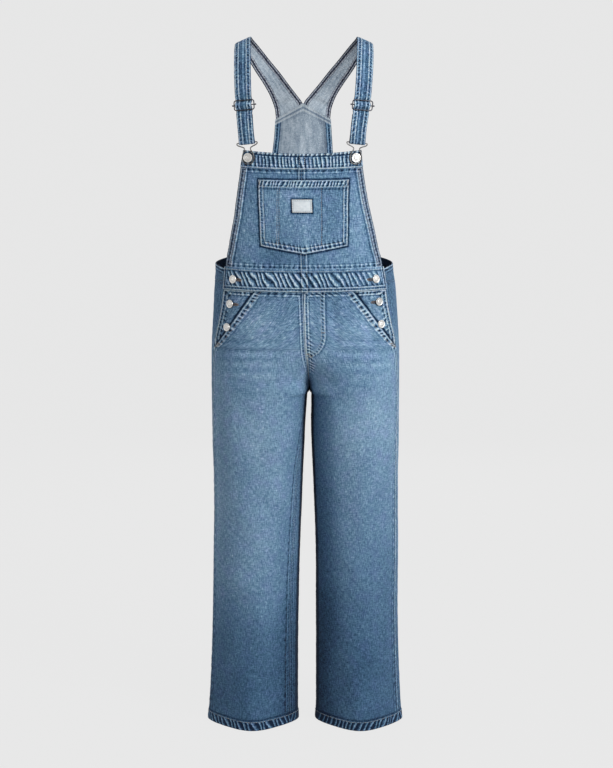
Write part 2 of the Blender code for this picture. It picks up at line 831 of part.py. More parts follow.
def hook(side):
    frame = bib_button_frame(side)
    half = [Vector((u, v, 0)) for u, v in hook_right_half]
    other = [Vector((-p.x, p.y, 0)) for p in reversed(half[1:-1])]
    outline = half + other
    points = [place(frame, p.x, p.y, wire_level()) for p in outline]
    bm = wire_mesh(points, wire_radius, frame[3], True)
    add_object("hook_" + side_name(side), bm, silver, 0.25, 1.0)


def slider(side, frame):
    half_w, half_h, corner = slider_half
    outline = []
    for cx, cy, start in ((1, 1, 0), (-1, 1, 90), (-1, -1, 180), (1, -1, 270)):
        for step in range(4):
            r = math.radians(start + 30 * step)
            u = cx * (half_w - corner) + corner * math.cos(r)
            v = cy * (half_h - corner) + corner * math.sin(r)
            outline.append(place(frame, u, v, 0))
    bm = wire_mesh(outline, wire_radius, frame[3], True)
    obj = add_object("slider_" + side_name(side), bm, steel, 0.3, 1.0)
    bar = [place(frame, u, 0, 0) for u in (-slider_knob, -slider_knob + 0.6, slider_knob - 0.6, slider_knob)]
    tool = add_object("slider_bar_" + side_name(side), wire_mesh(bar, wire_radius * 0.96, frame[3], False),
                      steel, 0.3, 1.0)
    tool.hide_render = True
    tool.display_type = "WIRE"
    union = obj.modifiers.new("bar", "BOOLEAN")
    union.operation = "UNION"
    union.solver = "EXACT"
    union.object = tool


def button(name, frame, base, shank_height, shank_radius, cap_radius, cap_thick):
    """Turned metal button: shank, then a cap with a rolled rim and a dished face."""
    top = base + shank_height
    profile = ((shank_radius, base), (shank_radius, top), (cap_radius - 0.5, top),
               (cap_radius, top + 0.7), (cap_radius - 0.6, top + cap_thick),
               (cap_radius - 2.0, top + cap_thick), (cap_radius - 2.8, top + cap_thick - 0.6))
    bm = bmesh.new()
    steps = 16
    rings = []
    for radius, level in profile:
        ring = []
        for k in range(steps):
            r = 2 * math.pi * k / steps
            ring.append(bm.verts.new(world(place(frame, radius * math.cos(r), radius * math.sin(r), level))))
        rings.append(ring)
    for ring_a, ring_b in zip(rings, rings[1:]):
        for k in range(steps):
            n = (k + 1) % steps
            bm.faces.new((ring_a[k], ring_a[n], ring_b[n], ring_b[k]))
    bm.faces.new(rings[0])
    bm.faces.new(rings[-1])
    add_object(name, bm, silver, 0.3, 1.0)


def buttons(side):
    tag = side_name(side)
    frame = bib_button_frame(side)
    base = gap + top_band_thick + gap
    button("button_bib_" + tag, frame, base, 2 * wire_radius + gap, *bib_button)
    for name, button_side, x, height, base in button_rows:
        if button_side == side:
            point, normal = front_spot(side * x, height)
            button(f"button_{name}_{tag}", frame_at(point, normal), base, side_shank, *side_button)


# ---- build ----
for side in (-1, 1):
    front_leg(side)
    back_leg(side)
    hip_facing(side)
    bib_half(side)
back_upper()
bib_top_band()
bib_pocket()
bib_label()
waistband()
for side in (-1, 1):
    slider(side, strap(side))
    hook(side)
    buttons(side)
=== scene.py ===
import math

import bpy
import numpy as np
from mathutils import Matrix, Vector


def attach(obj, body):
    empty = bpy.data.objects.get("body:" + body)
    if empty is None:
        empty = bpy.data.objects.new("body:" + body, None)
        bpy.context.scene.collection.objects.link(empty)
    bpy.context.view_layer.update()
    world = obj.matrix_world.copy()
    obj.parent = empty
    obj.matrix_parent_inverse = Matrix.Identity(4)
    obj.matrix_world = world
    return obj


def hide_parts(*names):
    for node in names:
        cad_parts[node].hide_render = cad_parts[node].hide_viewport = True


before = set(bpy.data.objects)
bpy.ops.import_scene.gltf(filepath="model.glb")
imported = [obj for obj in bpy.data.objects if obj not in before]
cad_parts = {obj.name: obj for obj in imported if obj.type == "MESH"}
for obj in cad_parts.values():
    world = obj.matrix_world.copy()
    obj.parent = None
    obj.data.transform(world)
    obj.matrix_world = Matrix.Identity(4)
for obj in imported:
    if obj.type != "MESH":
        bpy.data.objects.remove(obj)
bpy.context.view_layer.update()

scene = bpy.context.scene

# lengths are millimetres until they reach a mesh; heights are measured up from the hem line
holdHeight = 1378.0
airGap = 0.3
clothWall = 1.5
crotchHeight = 697.0
bandBottom, bandTop = 892.8, 938.5
slantBottom, slantTopX = 776.0, 97.0


# ---------- small helpers ----------
def srgb(r, g, b):
    out = []
    for c in (r, g, b):
        c /= 255.0
        out.append(c / 12.92 if c <= 0.04045 else ((c + 0.055) / 1.055) ** 2.4)
    return (*out, 1.0)


def columnAt(rows, height, index=1):
    # table column at a height, eased between its rows
    h = np.asarray(height, float)
    keys = np.array([row[0] for row in rows], float)
    values = np.array([row[index] for row in rows], float)
    spans = np.diff(keys)
    slopes = np.diff(values) / spans
    tangents = np.zeros(len(keys))
    tangents[0], tangents[-1] = slopes[0], slopes[-1]
    for j in range(1, len(keys) - 1):
        if slopes[j - 1] * slopes[j] > 0:
            tangents[j] = 2 * slopes[j - 1] * slopes[j] / (slopes[j - 1] + slopes[j])
    i = np.clip(np.searchsorted(keys, h, side="right") - 1, 0, len(keys) - 2)
    t = np.clip((h - keys[i]) / spans[i], 0.0, 1.0)
    a = 2 * t ** 3 - 3 * t ** 2 + 1
    b = t ** 3 - 2 * t ** 2 + t
    return a * values[i] + b * tangents[i] * spans[i] + (1 - a) * values[i + 1] + (t ** 3 - t ** 2) * tangents[i + 1] * spans[i]


def smooth(x, low, high):
    t = np.clip((np.asarray(x, float) - low) / (high - low), 0.0, 1.0)
    return t * t * (3 - 2 * t)


def bump(x, width):
    return np.exp(-(np.asarray(x, float) / width) ** 2)


def waver(u, v, scaleU, scaleV, seed, waves=9):
    # soft irregular field from a few fixed waves, about -1 to 1
    rng = np.random.default_rng(seed)
    total = np.zeros(np.broadcast(u, v).shape)
    for _ in range(waves):
        angle, stretch, phase = rng.uniform(0, 2 * np.pi), rng.uniform(0.6, 1.5), rng.uniform(0, 2 * np.pi)
        total = total + np.cos(2 * np.pi * stretch * (np.cos(angle) * u / scaleU + np.sin(angle) * v / scaleV) + phase)
    return total / math.sqrt(waves / 2.0) / 1.6


def ropePhase(along, across, pitch, slant, seed):
    drift = 1.9 * waver(along, across * 0.3, 38.0, 60.0, seed)
    return 2 * np.pi * (along + slant * across) / pitch + drift


def puckers(along, across, pitch, slant, seed):
    # ridges that run across a sewn seam, uneven in spacing and strength
    phase = ropePhase(along, across, pitch, slant, seed)
    second = np.sin(2 * np.pi * (along - 0.5 * slant * across) / (pitch * 0.57) + 2.3 * waver(along, across, 25.0, 50.0, seed + 1))
    strength = 0.75 + 0.45 * waver(along, across * 0.2, 30.0, 60.0, seed + 2)
    return (np.sin(phase) * 0.8 + second * 0.3) * strength


# ---------- the garment's form: the CAD's tables, with a blunter start of the gap between the legs ----------
ringRows = (
    (-4, 202.2, 80, 80, -0.066), (41, 198.6, 80, 80, -0.062), (110, 194.9, 79, 79, -0.055),
    (178, 192.3, 79, 79, -0.048), (246, 190.7, 79, 79, -0.040), (314, 190.0, 80, 81, -0.032),
    (381, 189.4, 82, 84, -0.024), (448, 188.2, 85, 88, -0.016), (515, 188.2, 89, 94, -0.008),
    (581, 189.6, 94, 101, 0.0), (640, 189.8, 99, 108, 0.010), (700, 190.0, 105, 116, 0.018),
    (760, 189.7, 111, 121, 0.025), (820, 187.0, 115, 121, 0.025), (850, 185.0, 116, 118, 0.025),
    (885, 182.8, 117, 111, 0.025), (912, 180.2, 118, 104, 0.025), (939, 177.6, 118, 98, 0.025),
    (975, 178.5, 118, 93, 0.025), (1040, 184.0, 117, 91, 0.025), (1100, 191.0, 115, 93, 0.025),
    (1160, 200.0, 113, 95, 0.025), (1275, 205.0, 112, 98, 0.025))
innerRows = (
    (-4, 110, 17.6, 1.0), (41, 109, 18.6, 1.0), (178, 106, 18.4, 1.0), (246, 105, 17.6, 1.0),
    (314, 104, 17.0, 1.0), (381, 102, 15.4, 1.0), (448, 101, 12.8, 1.0), (515, 100, 10.2, 0.94),
    (581, 98, 7.1, 0.84), (640, 95, 5.2, 0.76), (668, 92, 4.4, 0.70), (681, 90.5, 3.9, 0.67),
    (684.5, 90, 0.25, 0.66), (697, 88, -0.4, 0.64),
    (700, 87, -0.7, 0.66), (705, 85.5, -1.2, 0.70), (712, 83, -4.0, 0.78), (727, 76, -14.0, 0.90),
    (745, 66, -34.0, 1.0), (776, 46, -92.0, 1.0), (800, 29, -128.0, 1.0), (830, 11, -168.0, 1.0),
    (860, 0, -184.3, 1.0))
seamRows = (
    (-4, 5, 17, 150, 175), (300, 6, 19, 148, 175), (520, 11, 20, 150, 176), (620, 14, 20, 160, 178),
    (680, 16, 19.5, 174, 179.3), (697, 16.5, 19.5, 180, 180), (776, 19.8, 21.8, 180, 180),
    (830, 26.1, 27.1, 180, 180), (869, 29.5, 29.9, 180, 180), (893, 30.9, 31.0, 180, 180),
    (945, 32.4, 32.4, 180, 180))
bibRows = ((900, 150.0), (936, 154.0), (954, 151.4), (973, 146.7), (1005, 140.3), (1036, 133.5),
           (1067, 127.8), (1098, 122.5), (1129, 117.8), (1163, 113.2))
leanRows = ((0, 0.0), (200, 0.4), (420, 2.0), (560, 1.4), (700, 0.8), (840, 0.8), (893, 0.3), (934, -1.5), (973, -3.0),
            (1036, -4.4), (1067, -5.9), (1129, -6.3), (1163, -5.0), (1208, -4.0), (1266, -4.0), (1314, -2.6), (1390, -1.8))
driftRows = ((0, 4.0), (400, 4.2), (600, 5.0), (690, 8.0), (745, 4.0), (776, 0.2), (820, -1.6), (880, -3.2),
             (908, -0.6), (925, 0.0))
droopRows = ((760, 0.0), (889, 3.0), (930, 4.6), (1000, 4.4), (1105, 3.2), (1130, 5.0), (1160, 8.0))
droopHalfRows = ((760, 190.0), (939, 178.0), (975, 150.0), (1040, 133.0), (1160, 114.0))
backRows = ((951, 157.0, 0), (963, 144.5, 0), (983, 131.0, 0), (1010, 118.0, 0), (1045, 99.0, 0), (1085, 81.0, 0),
            (1125, 68.0, 3), (1165, 62.0, 10), (1198, 59.0, 20), (1231, 57.0, 33))
# face, x0, height0, x1, height1, breadth, depth; in is +
foldRows = (
    ("front", 58, 862, 60, 790, 11, 2.6), ("front", 122, 826, 152, 758, 13, 3.0),
    ("front", 32, 720, 66, 668, 15, 2.2), ("front", -30, 716, -72, 664, 15, 2.4),
    ("front", -88, 978, -48, 944, 24, 1.8), ("front", -112, 1062, -120, 1008, 20, 1.8),
    ("front", 96, 1040, 118, 985, 20, 1.4), ("front", -118, 640, -96, 470, 26, 3.0),
    ("front", -66, 430, -112, 330, 24, 3.2), ("front", 70, 560, 92, 380, 26, 2.8),
    ("front", 142, 470, 118, 340, 22, 2.6), ("front", -132, 250, -98, 90, 24, 3.0),
    ("front", 104, 240, 128, 70, 24, 3.0), ("front", -62, 150, -70, 20, 18, 2.4),
    ("back", -60, 812, -20, 760, 18, 3.5), ("back", 58, 806, 22, 752, 18, 3.5),
    ("back", -120, 700, -70, 668, 18, 5.0), ("back", 122, 704, 72, 664, 18, 5.0),
    ("back", -128, 660, -58, 628, 16, 3.6), ("back", 126, 655, 60, 620, 16, 3.6),
    ("back", -150, 385, -66, 350, 20, 4.6), ("back", 148, 392, 70, 352, 20, 4.6),
    ("back", -138, 300, -60, 322, 18, 3.2), ("back", 60, 296, 140, 318, 18, 3.2),
    ("back", -50, 935, -44, 985, 22, 2.0), ("back", 52, 938, 46, 990, 22, 2.0))
# smaller creases that only the visual cloth has
creaseRows = (
    ("front", 54, 884, 56, 842, 6, 1.2), ("front", 138, 852, 168, 770, 7, 1.6), ("front", 112, 846, 140, 792, 6, 0.9),
    ("front", -158, 792, -70, 796, 7, 0.8), ("front", -162, 768, -60, 772, 6, 0.9), ("front", -160, 742, -50, 744, 8, 0.8),
    ("front", -150, 716, -60, 712, 8, 0.7), ("front", 70, 796, 160, 792, 7, 0.8), ("front", 60, 772, 165, 766, 6, 0.9),
    ("front", 56, 746, 165, 742, 8, 0.8), ("front", 60, 716, 150, 716, 8, 0.7),
    ("front", -20, 838, -22, 800, 7, 0.9), ("front", -40, 870, -52, 820, 8, 0.8), ("front", 86, 872, 92, 830, 8, 0.6),
    ("front", -94, 1000, -70, 968, 8, 0.8), ("front", -60, 958, -40, 944, 7, 0.8), ("front", 66, 964, 90, 950, 9, 0.6),
    ("front", -104, 1118, -84, 1106, 8, 0.5), ("front", 98, 1112, 106, 1060, 9, 0.5),
    ("front", -86, 560, -60, 520, 14, 1.0), ("front", -150, 420, -120, 380, 14, 1.0), ("front", 50, 470, 84, 430, 14, 1.0),
    ("front", -50, 300, -88, 262, 16, 1.2), ("front", 66, 330, 104, 288, 16, 1.2), ("front", 140, 210, 112, 170, 16, 1.0),
    ("front", -120, 180, -146, 130, 14, 1.0), ("front", 60, 130, 74, 60, 14, 1.0), ("front", -100, 70, -96, 20, 12, 1.0),
    ("back", -90, 850, -70, 790, 12, 1.2), ("back", 92, 846, 74, 786, 12, 1.2), ("back", -100, 560, -70, 470, 22, 1.6),
    ("back", 104, 560, 74, 480, 22, 1.6), ("back", -70, 240, -120, 180, 18, 1.6), ("back", 74, 236, 120, 176, 18, 1.6),
    ("back", -20, 1000, -30, 1090, 14, 1.0), ("back", 26, 1030, 14, 1120, 14, 1.0))


def ringAt(height):
    h = np.asarray(height, float)
    outer = columnAt(ringRows, h, 1)
    inner = np.where(h < innerRows[-1][0], columnAt(innerRows, h, 2), -outer)
    return dict(outer=outer, front=columnAt(ringRows, h, 2), back=columnAt(ringRows, h, 3), square=columnAt(ringRows, h, 4),
                crest=columnAt(innerRows, h, 1), inner=inner, bow=columnAt(innerRows, h, 3))


def ringX(turn, ring):
    r = np.radians(turn)
    shape = (np.cos(r) - ring["square"] * np.cos(3 * r)) / (1 - ring["square"])
    inside = ring["crest"] - (ring["crest"] - ring["inner"]) * np.maximum(-shape, 0.0) ** ring["bow"]
    return np.where(shape < 0, inside, ring["crest"] + (ring["outer"] - ring["crest"]) * shape)


def ringY(turn, ring):
    r = np.radians(turn)
    depth = np.where(np.sin(r) >= 0, ring["front"], ring["back"])
    return -depth * (np.sin(r) + ring["square"] * np.sin(3 * r)) / (1 - ring["square"])


def foldDepth(isFront, x, height):
    front, back = np.zeros_like(x), np.zeros_like(x)
    for face, x0, h0, x1, h1, breadth, depth in foldRows + creaseRows:
        dx, dh = x1 - x0, h1 - h0
        t = np.clip(((x - x0) * dx + (height - h0) * dh) / (dx * dx + dh * dh), 0.0, 1.0)
        away = np.hypot(x - x0 - t * dx, height - h0 - t * dh)
        push = depth * bump(away, breadth)
        if face == "front":
            front += push
        else:
            back += push
    return np.where(isFront, front, back)


def warp(x, y, height):
    # drift, lean and sag that the whole garment shares
    front = np.clip(-y / 100.0, 0.0, 1.0)
    middle = np.maximum(0.0, 1.0 - (x / 190.0) ** 2)
    xNew = x + columnAt(driftRows, height) * middle + columnAt(leanRows, height)
    half = columnAt(droopHalfRows, height)
    sag = columnAt(droopRows, height) * np.maximum(0.0, 1.0 - (x / half) ** 2) * front
    sag = sag + 3.0 * front * np.maximum(0.0, 1.0 - height / 120.0)
    return np.stack([xNew, y + 0 * x, height - sag], axis=-1)


def bodyPoint(side, turn, height):
    ring = ringAt(height)
    r = np.radians(turn)
    x, y = ringX(turn, ring), ringY(turn, ring)
    push = foldDepth(np.sin(r) >= 0, side * x, height) * np.minimum(1.0, np.abs(np.sin(r)) * 2.0)
    return warp(side * (x - push * np.cos(r) * 0.6), y + push * np.sin(r), height)


def surfaceAt(side, turn, height):
    along = bodyPoint(side, turn + 0.4, height) - bodyPoint(side, turn - 0.4, height)
    up = bodyPoint(side, turn, height + 0.8) - bodyPoint(side, turn, height - 0.8)
    normal = np.cross(up, along) * np.asarray(side, float)[..., None]
    return bodyPoint(side, turn, height), normal / np.linalg.norm(normal, axis=-1, keepdims=True)


def turnAt(x, height):
    ring = ringAt(height)
    low, high = np.zeros(np.broadcast(x, height).shape), np.full(np.broadcast(x, height).shape, 180.0)
    for _ in range(34):
        mid = (low + high) / 2
        further = ringX(mid, ring) > x
        low, high = np.where(further, mid, low), np.where(further, high, mid)
    return (low + high) / 2


def frontAt(x, height, face=1):
    x, height = np.broadcast_arrays(np.asarray(x, float), np.asarray(height, float))
    side = np.where(x >= 0, 1.0, -1.0)
    return surfaceAt(side, face * turnAt(np.abs(x), height), height)


def toWorld(points):
    return (points - np.array([0.0, 0.0, holdHeight])) * 0.001


# ---------- shader maths ----------
class Val:
    # wraps a socket, so that a shader's sums read as sums
    def __init__(self, tree, socket):
        self.tree, self.socket = tree, socket

    def sum(self, operation, *others, clamp=False):
        node = self.tree.nodes.new("ShaderNodeMath")
        node.operation, node.use_clamp = operation, clamp
        for place, item in zip(node.inputs, others):
            if isinstance(item, Val):
                self.tree.links.new(item.socket, place)
            else:
                place.default_value = item
        return Val(self.tree, node.outputs[0])

    def __add__(self, o): return self.sum("ADD", self, o)
    def __radd__(self, o): return self.sum("ADD", o, self)
    def __sub__(self, o): return self.sum("SUBTRACT", self, o)
    def __rsub__(self, o): return self.sum("SUBTRACT", o, self)
    def __mul__(self, o): return self.sum("MULTIPLY", self, o)
    def __rmul__(self, o): return self.sum("MULTIPLY", o, self)
    def __truediv__(self, o): return self.sum("DIVIDE", self, o)
    def __pow__(self, o): return self.sum("POWER", self, o)
    def sine(self): return self.sum("SINE", self)
    def abs(self): return self.sum("ABSOLUTE", self)
    def clamped(self): return self.sum("ADD", self, 0.0, clamp=True)

    def hill(self, centre, width):
        # 1 at centre, 0 beyond width
        away = (self - centre).abs() / width
        return (1 - away).clamped()


class Finish:
    def __init__(self, name, **constants):
        self.material = bpy.data.materials.new(name)
        self.material.use_nodes = True
        self.tree = self.material.node_tree
        self.shader = self.tree.nodes["Principled BSDF"]
        for socket, value in constants.items():
            self.shader.inputs[socket.replace("_", " ")].default_value = value

    def node(self, kind, settings=None, output=0, **values):
        made = self.tree.nodes.new(kind)
        for key, value in (settings or {}).items():
            if key == "stops":
                ramp = made.color_ramp
                while len(ramp.elements) < len(value):
                    ramp.elements.new(0.5)
                for element, (place, colour) in zip(ramp.elements, value):
                    element.position, element.color = place, colour
            else:
                setattr(made, key, value)
        for key, value in values.items():
            place = made.inputs[int(key[1:])] if key[0] == "i" and key[1:].isdigit() else made.inputs[key]
            if isinstance(value, Val):
                self.tree.links.new(value.socket, place)
            else:
                place.default_value = value
        return Val(self.tree, made.outputs[output])

    def attribute(self, name):
        return self.node("ShaderNodeAttribute", {"attribute_name": name}, output=2)

    def uv(self):
        # the piece's own cloth coordinates, in millimetres
        raw = self.node("ShaderNodeUVMap", {"uv_map": "cloth"})
        return [self.node("ShaderNodeSeparateXYZ", None, k, Vector=raw) * 1000.0 for k in (0, 1)]

    def noise(self, x, y, z=0.0, detail=2.0, rough=0.5):
        place = self.node("ShaderNodeCombineXYZ", X=x, Y=y, Z=z)
        return self.node("ShaderNodeTexNoise", {"noise_dimensions": "3D"}, Vector=place, Scale=1.0, Detail=detail, Roughness=rough)

    def ramp(self, factor, stops):
        return self.node("ShaderNodeValToRGB", {"stops": stops}, Fac=factor)

    def mix(self, factor, a, b, blend="MIX"):
        return self.node("ShaderNodeMix", {"data_type": "RGBA", "blend_type": blend}, 2, i0=factor, i6=a, i7=b)

    def plug(self, **links):
        for socket, value in links.items():
            self.tree.links.new(value.socket, self.shader.inputs[socket.replace("_", " ")])

    def relief(self, height, distance, strength=1.0):
        bumped = self.node("ShaderNodeBump", None, 0, Height=height, Distance=distance, Strength=strength)
        self.plug(Normal=bumped)


denimLook = {
    "deep": srgb(10, 32, 58), "mid": srgb(65, 98, 131), "washed": srgb(104, 137, 169),
    "pale": srgb(152, 181, 209), "bare": srgb(204, 218, 229),
    "insideDark": srgb(112, 128, 146), "inside": srgb(160, 175, 189), "insidePale": srgb(204, 214, 222),
    "violet": (1.04, 0.97, 1.05, 1.0), "teal": (0.97, 1.03, 0.99, 1.0), "foldDark": srgb(26, 31, 44), "fold": srgb(88, 95, 116), "foldPale": srgb(190, 197, 208),
    "twillPitch": 1.05, "slub": 0.72, "cross": 0.56, "hatch": 0.25, "mottle": 0.13, "cloud": 0.11, "rubbedEdge": 0.82,
    "edgeShade": 0.5, "hollow": 0.66, "secondRidge": 0.50, "secondShade": 0.30,
}


def denimFinish():
    look = denimLook
    f = Finish("washedDenim", Roughness=0.9, Sheen_Weight=0.03, Sheen_Roughness=0.6, Specular_IOR_Level=0.12)
    u, v = f.uv()
    fade, wear, seam = f.attribute("fade"), f.attribute("wear"), f.attribute("seam")
    along, inside, fold = f.attribute("along"), f.attribute("inside"), f.attribute("fold")
    stripes, phase = f.attribute("stripes"), f.attribute("phase")
    edge, lively = f.attribute("edge"), f.attribute("lively")
    twill = ((u * 0.86 + v * 0.5) * (2 * math.pi / look["twillPitch"])).sine()
    slub = f.noise(u / 1.8, v / 9.5, 3.1, 3.0, 0.62)
    cross = f.noise(u / 9.0, v / 1.8, 21.0, 2.0, 0.6)
    hatch = f.noise((u + v * 0.6) / 2.2, (v - u * 0.3) / 4.2, 7.7, 2.0, 0.6)
    mottle = f.noise(u / 4.2, v / 5.0, 11.0, 2.0)
    cloud = f.noise(u / 60.0, v / 85.0, 5.0, 3.0, 0.55)
    # rubbed ridges and dark hollows that run across the sewn edges; the hollows are partly painted shade, and a painted
    # shadow line runs right at each edge
    jitter = f.noise(along / 9.0, seam / 14.0, 2.0, 1.0)
    rope = ((along + seam * 0.45) * (2 * math.pi / 6.4) + jitter * 9.0).sine()
    patchy = f.noise(along / 6.0, seam / 4.0, 9.0, 2.0)
    swing = phase + (jitter - 0.5) * 3.0
    crest = (swing.sine() * 0.5 + 0.5) ** 3.0
    trough = ((swing + 2.1).sine() * 0.5 + 0.5) ** 2.0
    band = (crest * 1.25 - trough * 1.35) * stripes * (0.3 + patchy * 1.4)
    rubbed = seam.hill(2.0, 1.5) * (0.25 + patchy * 1.0) * look["rubbedEdge"]
    shade = seam.hill(0.0, 1.0) * look["edgeShade"]
    hollow = seam.hill(5.0, 2.3) * (0.55 + rope * 0.45) * look["hollow"]
    second = seam.hill(8.4, 1.5) * (0.3 + patchy * 0.9) * look["secondRidge"] - seam.hill(10.9, 1.6) * look["secondShade"]
    sewn = (rubbed + second - hollow) * edge - shade * (0.4 + edge * 0.6)
    grain = ((slub - 0.5) * look["slub"] + (cross - 0.5) * look["cross"] + (hatch - 0.5) * look["hatch"]
             + (mottle - 0.5) * look["mottle"]) * (1.0 + lively)
    tone = fade + grain + (cloud - 0.5) * look["cloud"] * 2 + twill * 0.03 + wear * (0.5 + mottle) + band + sewn
    outer = f.ramp(tone.clamped(), [(0.0, look["deep"]), (0.34, look["mid"]), (0.6, look["washed"]),
                                    (0.84, look["pale"]), (1.0, look["bare"])])
    reverse = (grain * 1.1 + 0.5 + twill * 0.08 + wear * 0.5).clamped()
    lining = f.ramp(reverse, [(0.0, look["insideDark"]), (0.5, look["inside"]), (1.0, look["insidePale"])])
    # folded hems seen from within: grey-violet, with the sewing's rows showing through
    rows = (seam.hill(2.6, 1.2) + seam.hill(8.2, 1.4)) * (0.7 + rope * 0.3)
    folded = (0.40 + grain * 1.2 + rows * 1.2 - seam.hill(5.2, 1.8) * 0.4 - seam.hill(0.4, 1.2) * 0.4).clamped()
    turned = f.ramp(folded, [(0.0, look["foldDark"]), (0.5, look["fold"]), (1.0, look["foldPale"])])
    # indigo that leans to violet in some places and to green in others
    lean = f.noise(u / 22.0, v / 26.0, 15.0, 2.0)
    tint = f.mix(((lean - 0.5) * 3.0 + 0.22).clamped(), look["teal"], look["violet"])
    tinted = f.mix(1.0, outer, tint, "MULTIPLY")
    f.plug(Base_Color=f.mix(fold.clamped(), f.mix(inside.clamped(), tinted, lining), turned))
    f.relief(twill * 0.25 + slub * 1.1 + hatch * 0.7 + rope * seam.hill(5.0, 6.0) * 0.8 + band * 0.8, 0.0005, 0.85)
    return f.material


def threadFinish(name, light, dark):
    f = Finish(name, Roughness=0.7, Specular_IOR_Level=0.25)
    place = f.node("ShaderNodeTexCoord", None, 3)
    large = f.node("ShaderNodeTexNoise", None, 0, Vector=place, Scale=70.0, Detail=2.0)
    fine = f.node("ShaderNodeTexNoise", None, 0, Vector=place, Scale=900.0, Detail=1.0)
    f.plug(Base_Color=f.mix(((large - 0.5) * 2.2 + (fine - 0.5) * 1.0 + 0.5).clamped(), dark, light))
    f.relief(fine, 0.0002, 0.5)
    return f.material


def metalFinish(name, colour, tarnish, roughness):
    f = Finish(name, Metallic=1.0)
    place = f.node("ShaderNodeTexCoord", None, 3)
    dark = f.attribute("dark")
    cloudy = f.node("ShaderNodeTexNoise", None, 0, Vector=place, Scale=160.0, Detail=3.0)
    scratch = f.node("ShaderNodeTexNoise", None, 0, Vector=f.node("ShaderNodeMapping", None, 0, Vector=place, Scale=(4.0, 1.0, 0.4)),
                     Scale=900.0, Detail=2.0)
    bright = f.mix((cloudy * 1.5 - 0.35).clamped(), tarnish, colour)
    # the 'dark' attribute mixes in near-black: tarnish in hollows, and painted shade on the buttons
    f.plug(Base_Color=f.mix(dark.clamped(), bright, (0.05, 0.05, 0.055, 1.0)),
           Roughness=(roughness + (scratch - 0.5) * 0.25 + (cloudy - 0.5) * 0.2).clamped())
    f.relief(scratch, 0.00006, 0.5)
    return f.material


def labelFinish():
    f = Finish("wovenLabel", Roughness=0.75, Sheen_Weight=0.1, Specular_IOR_Level=0.25)
    u, v = f.uv()
    rib = (v * (2 * math.pi / 0.8)).sine()
    weft = (u * (2 * math.pi / 0.7)).sine()
    grime = f.noise(u / 6.0, v / 5.0, 1.0, 3.0)
    base = f.mix((grime * 1.1 - 0.1).clamped(), srgb(206, 216, 222), srgb(240, 244, 246))
    rim = f.attribute("seam")
    border = rim.hill(2.6, 0.9) * 0.55
    f.plug(Base_Color=f.mix(border.clamped(), base, srgb(120, 142, 160)))
    f.relief(rib * 0.5 + weft * 0.4 + grime * 0.6, 0.0003, 0.6)
    return f.material


def plainFinish(name, colour, roughness):
    f = Finish(name, Roughness=roughness)
    place = f.node("ShaderNodeTexCoord", None, 3)
    speckle = f.node("ShaderNodeTexNoise", None, 0, Vector=place, Scale=600.0, Detail=2.0)
    f.plug(Base_Color=f.mix(speckle, colour, tuple(min(1.0, c * 1.6) for c in colour[:3]) + (1.0,)))
    return f.material


denim = denimFinish()
threadPale = threadFinish("paleThread", srgb(196, 198, 194), srgb(142, 146, 150))
threadBrown = threadFinish("brownThread", srgb(150, 134, 124), srgb(78, 68, 66))
threadBlue = threadFinish("blueThread", srgb(92, 114, 138), srgb(22, 36, 56))
threadTan = threadFinish("tanThread", srgb(186, 172, 156), srgb(118, 116, 120))
nickel = metalFinish("nickel", srgb(224, 223, 221), srgb(184, 182, 178), 0.42)
hookSteel = metalFinish("hookWire", srgb(128, 127, 126), srgb(72, 70, 70), 0.3)
gunmetal = metalFinish("darkWire", srgb(84, 84, 90), srgb(40, 40, 46), 0.34)
labelCloth = labelFinish()
slitShade = plainFinish("buttonholeSlit", srgb(30, 40, 58), 0.9)
print("finishes made")


# ---------- cloth walls ----------
panels = {}


class Panel:
    # final outer skin of a piece, kept so that sewing can be laid on it
    def __init__(self, rows, cols, points, normals):
        self.rows, self.cols, self.points, self.normals = rows, cols, points, normals

    def lookup(self, row, col):
        i = int(np.clip(np.searchsorted(self.rows, row) - 1, 0, len(self.rows) - 2))
        f = (row - self.rows[i]) / (self.rows[i + 1] - self.rows[i])
        out = []
        for grid in (self.points, self.normals):
            pair = []
            for k in (i, i + 1):
                line = self.cols[k]
                spot = np.interp(col, line, np.arange(len(line)))
                j = int(min(spot, len(line) - 2))
                g = spot - j
                pair.append(grid[k, j] * (1 - g) + grid[k, j + 1] * g)
            out.append(pair[0] * (1 - f) + pair[1] * f)
        return out[0], out[1] / np.linalg.norm(out[1])


def gridNormals(points, like):
    du = np.gradient(points, axis=1)
    dv = np.gradient(points, axis=0)
    n = np.cross(du, dv)
    n /= np.linalg.norm(n, axis=-1, keepdims=True) + 1e-12
    return n * np.sign((n * like).sum(-1, keepdims=True) + 1e-9)


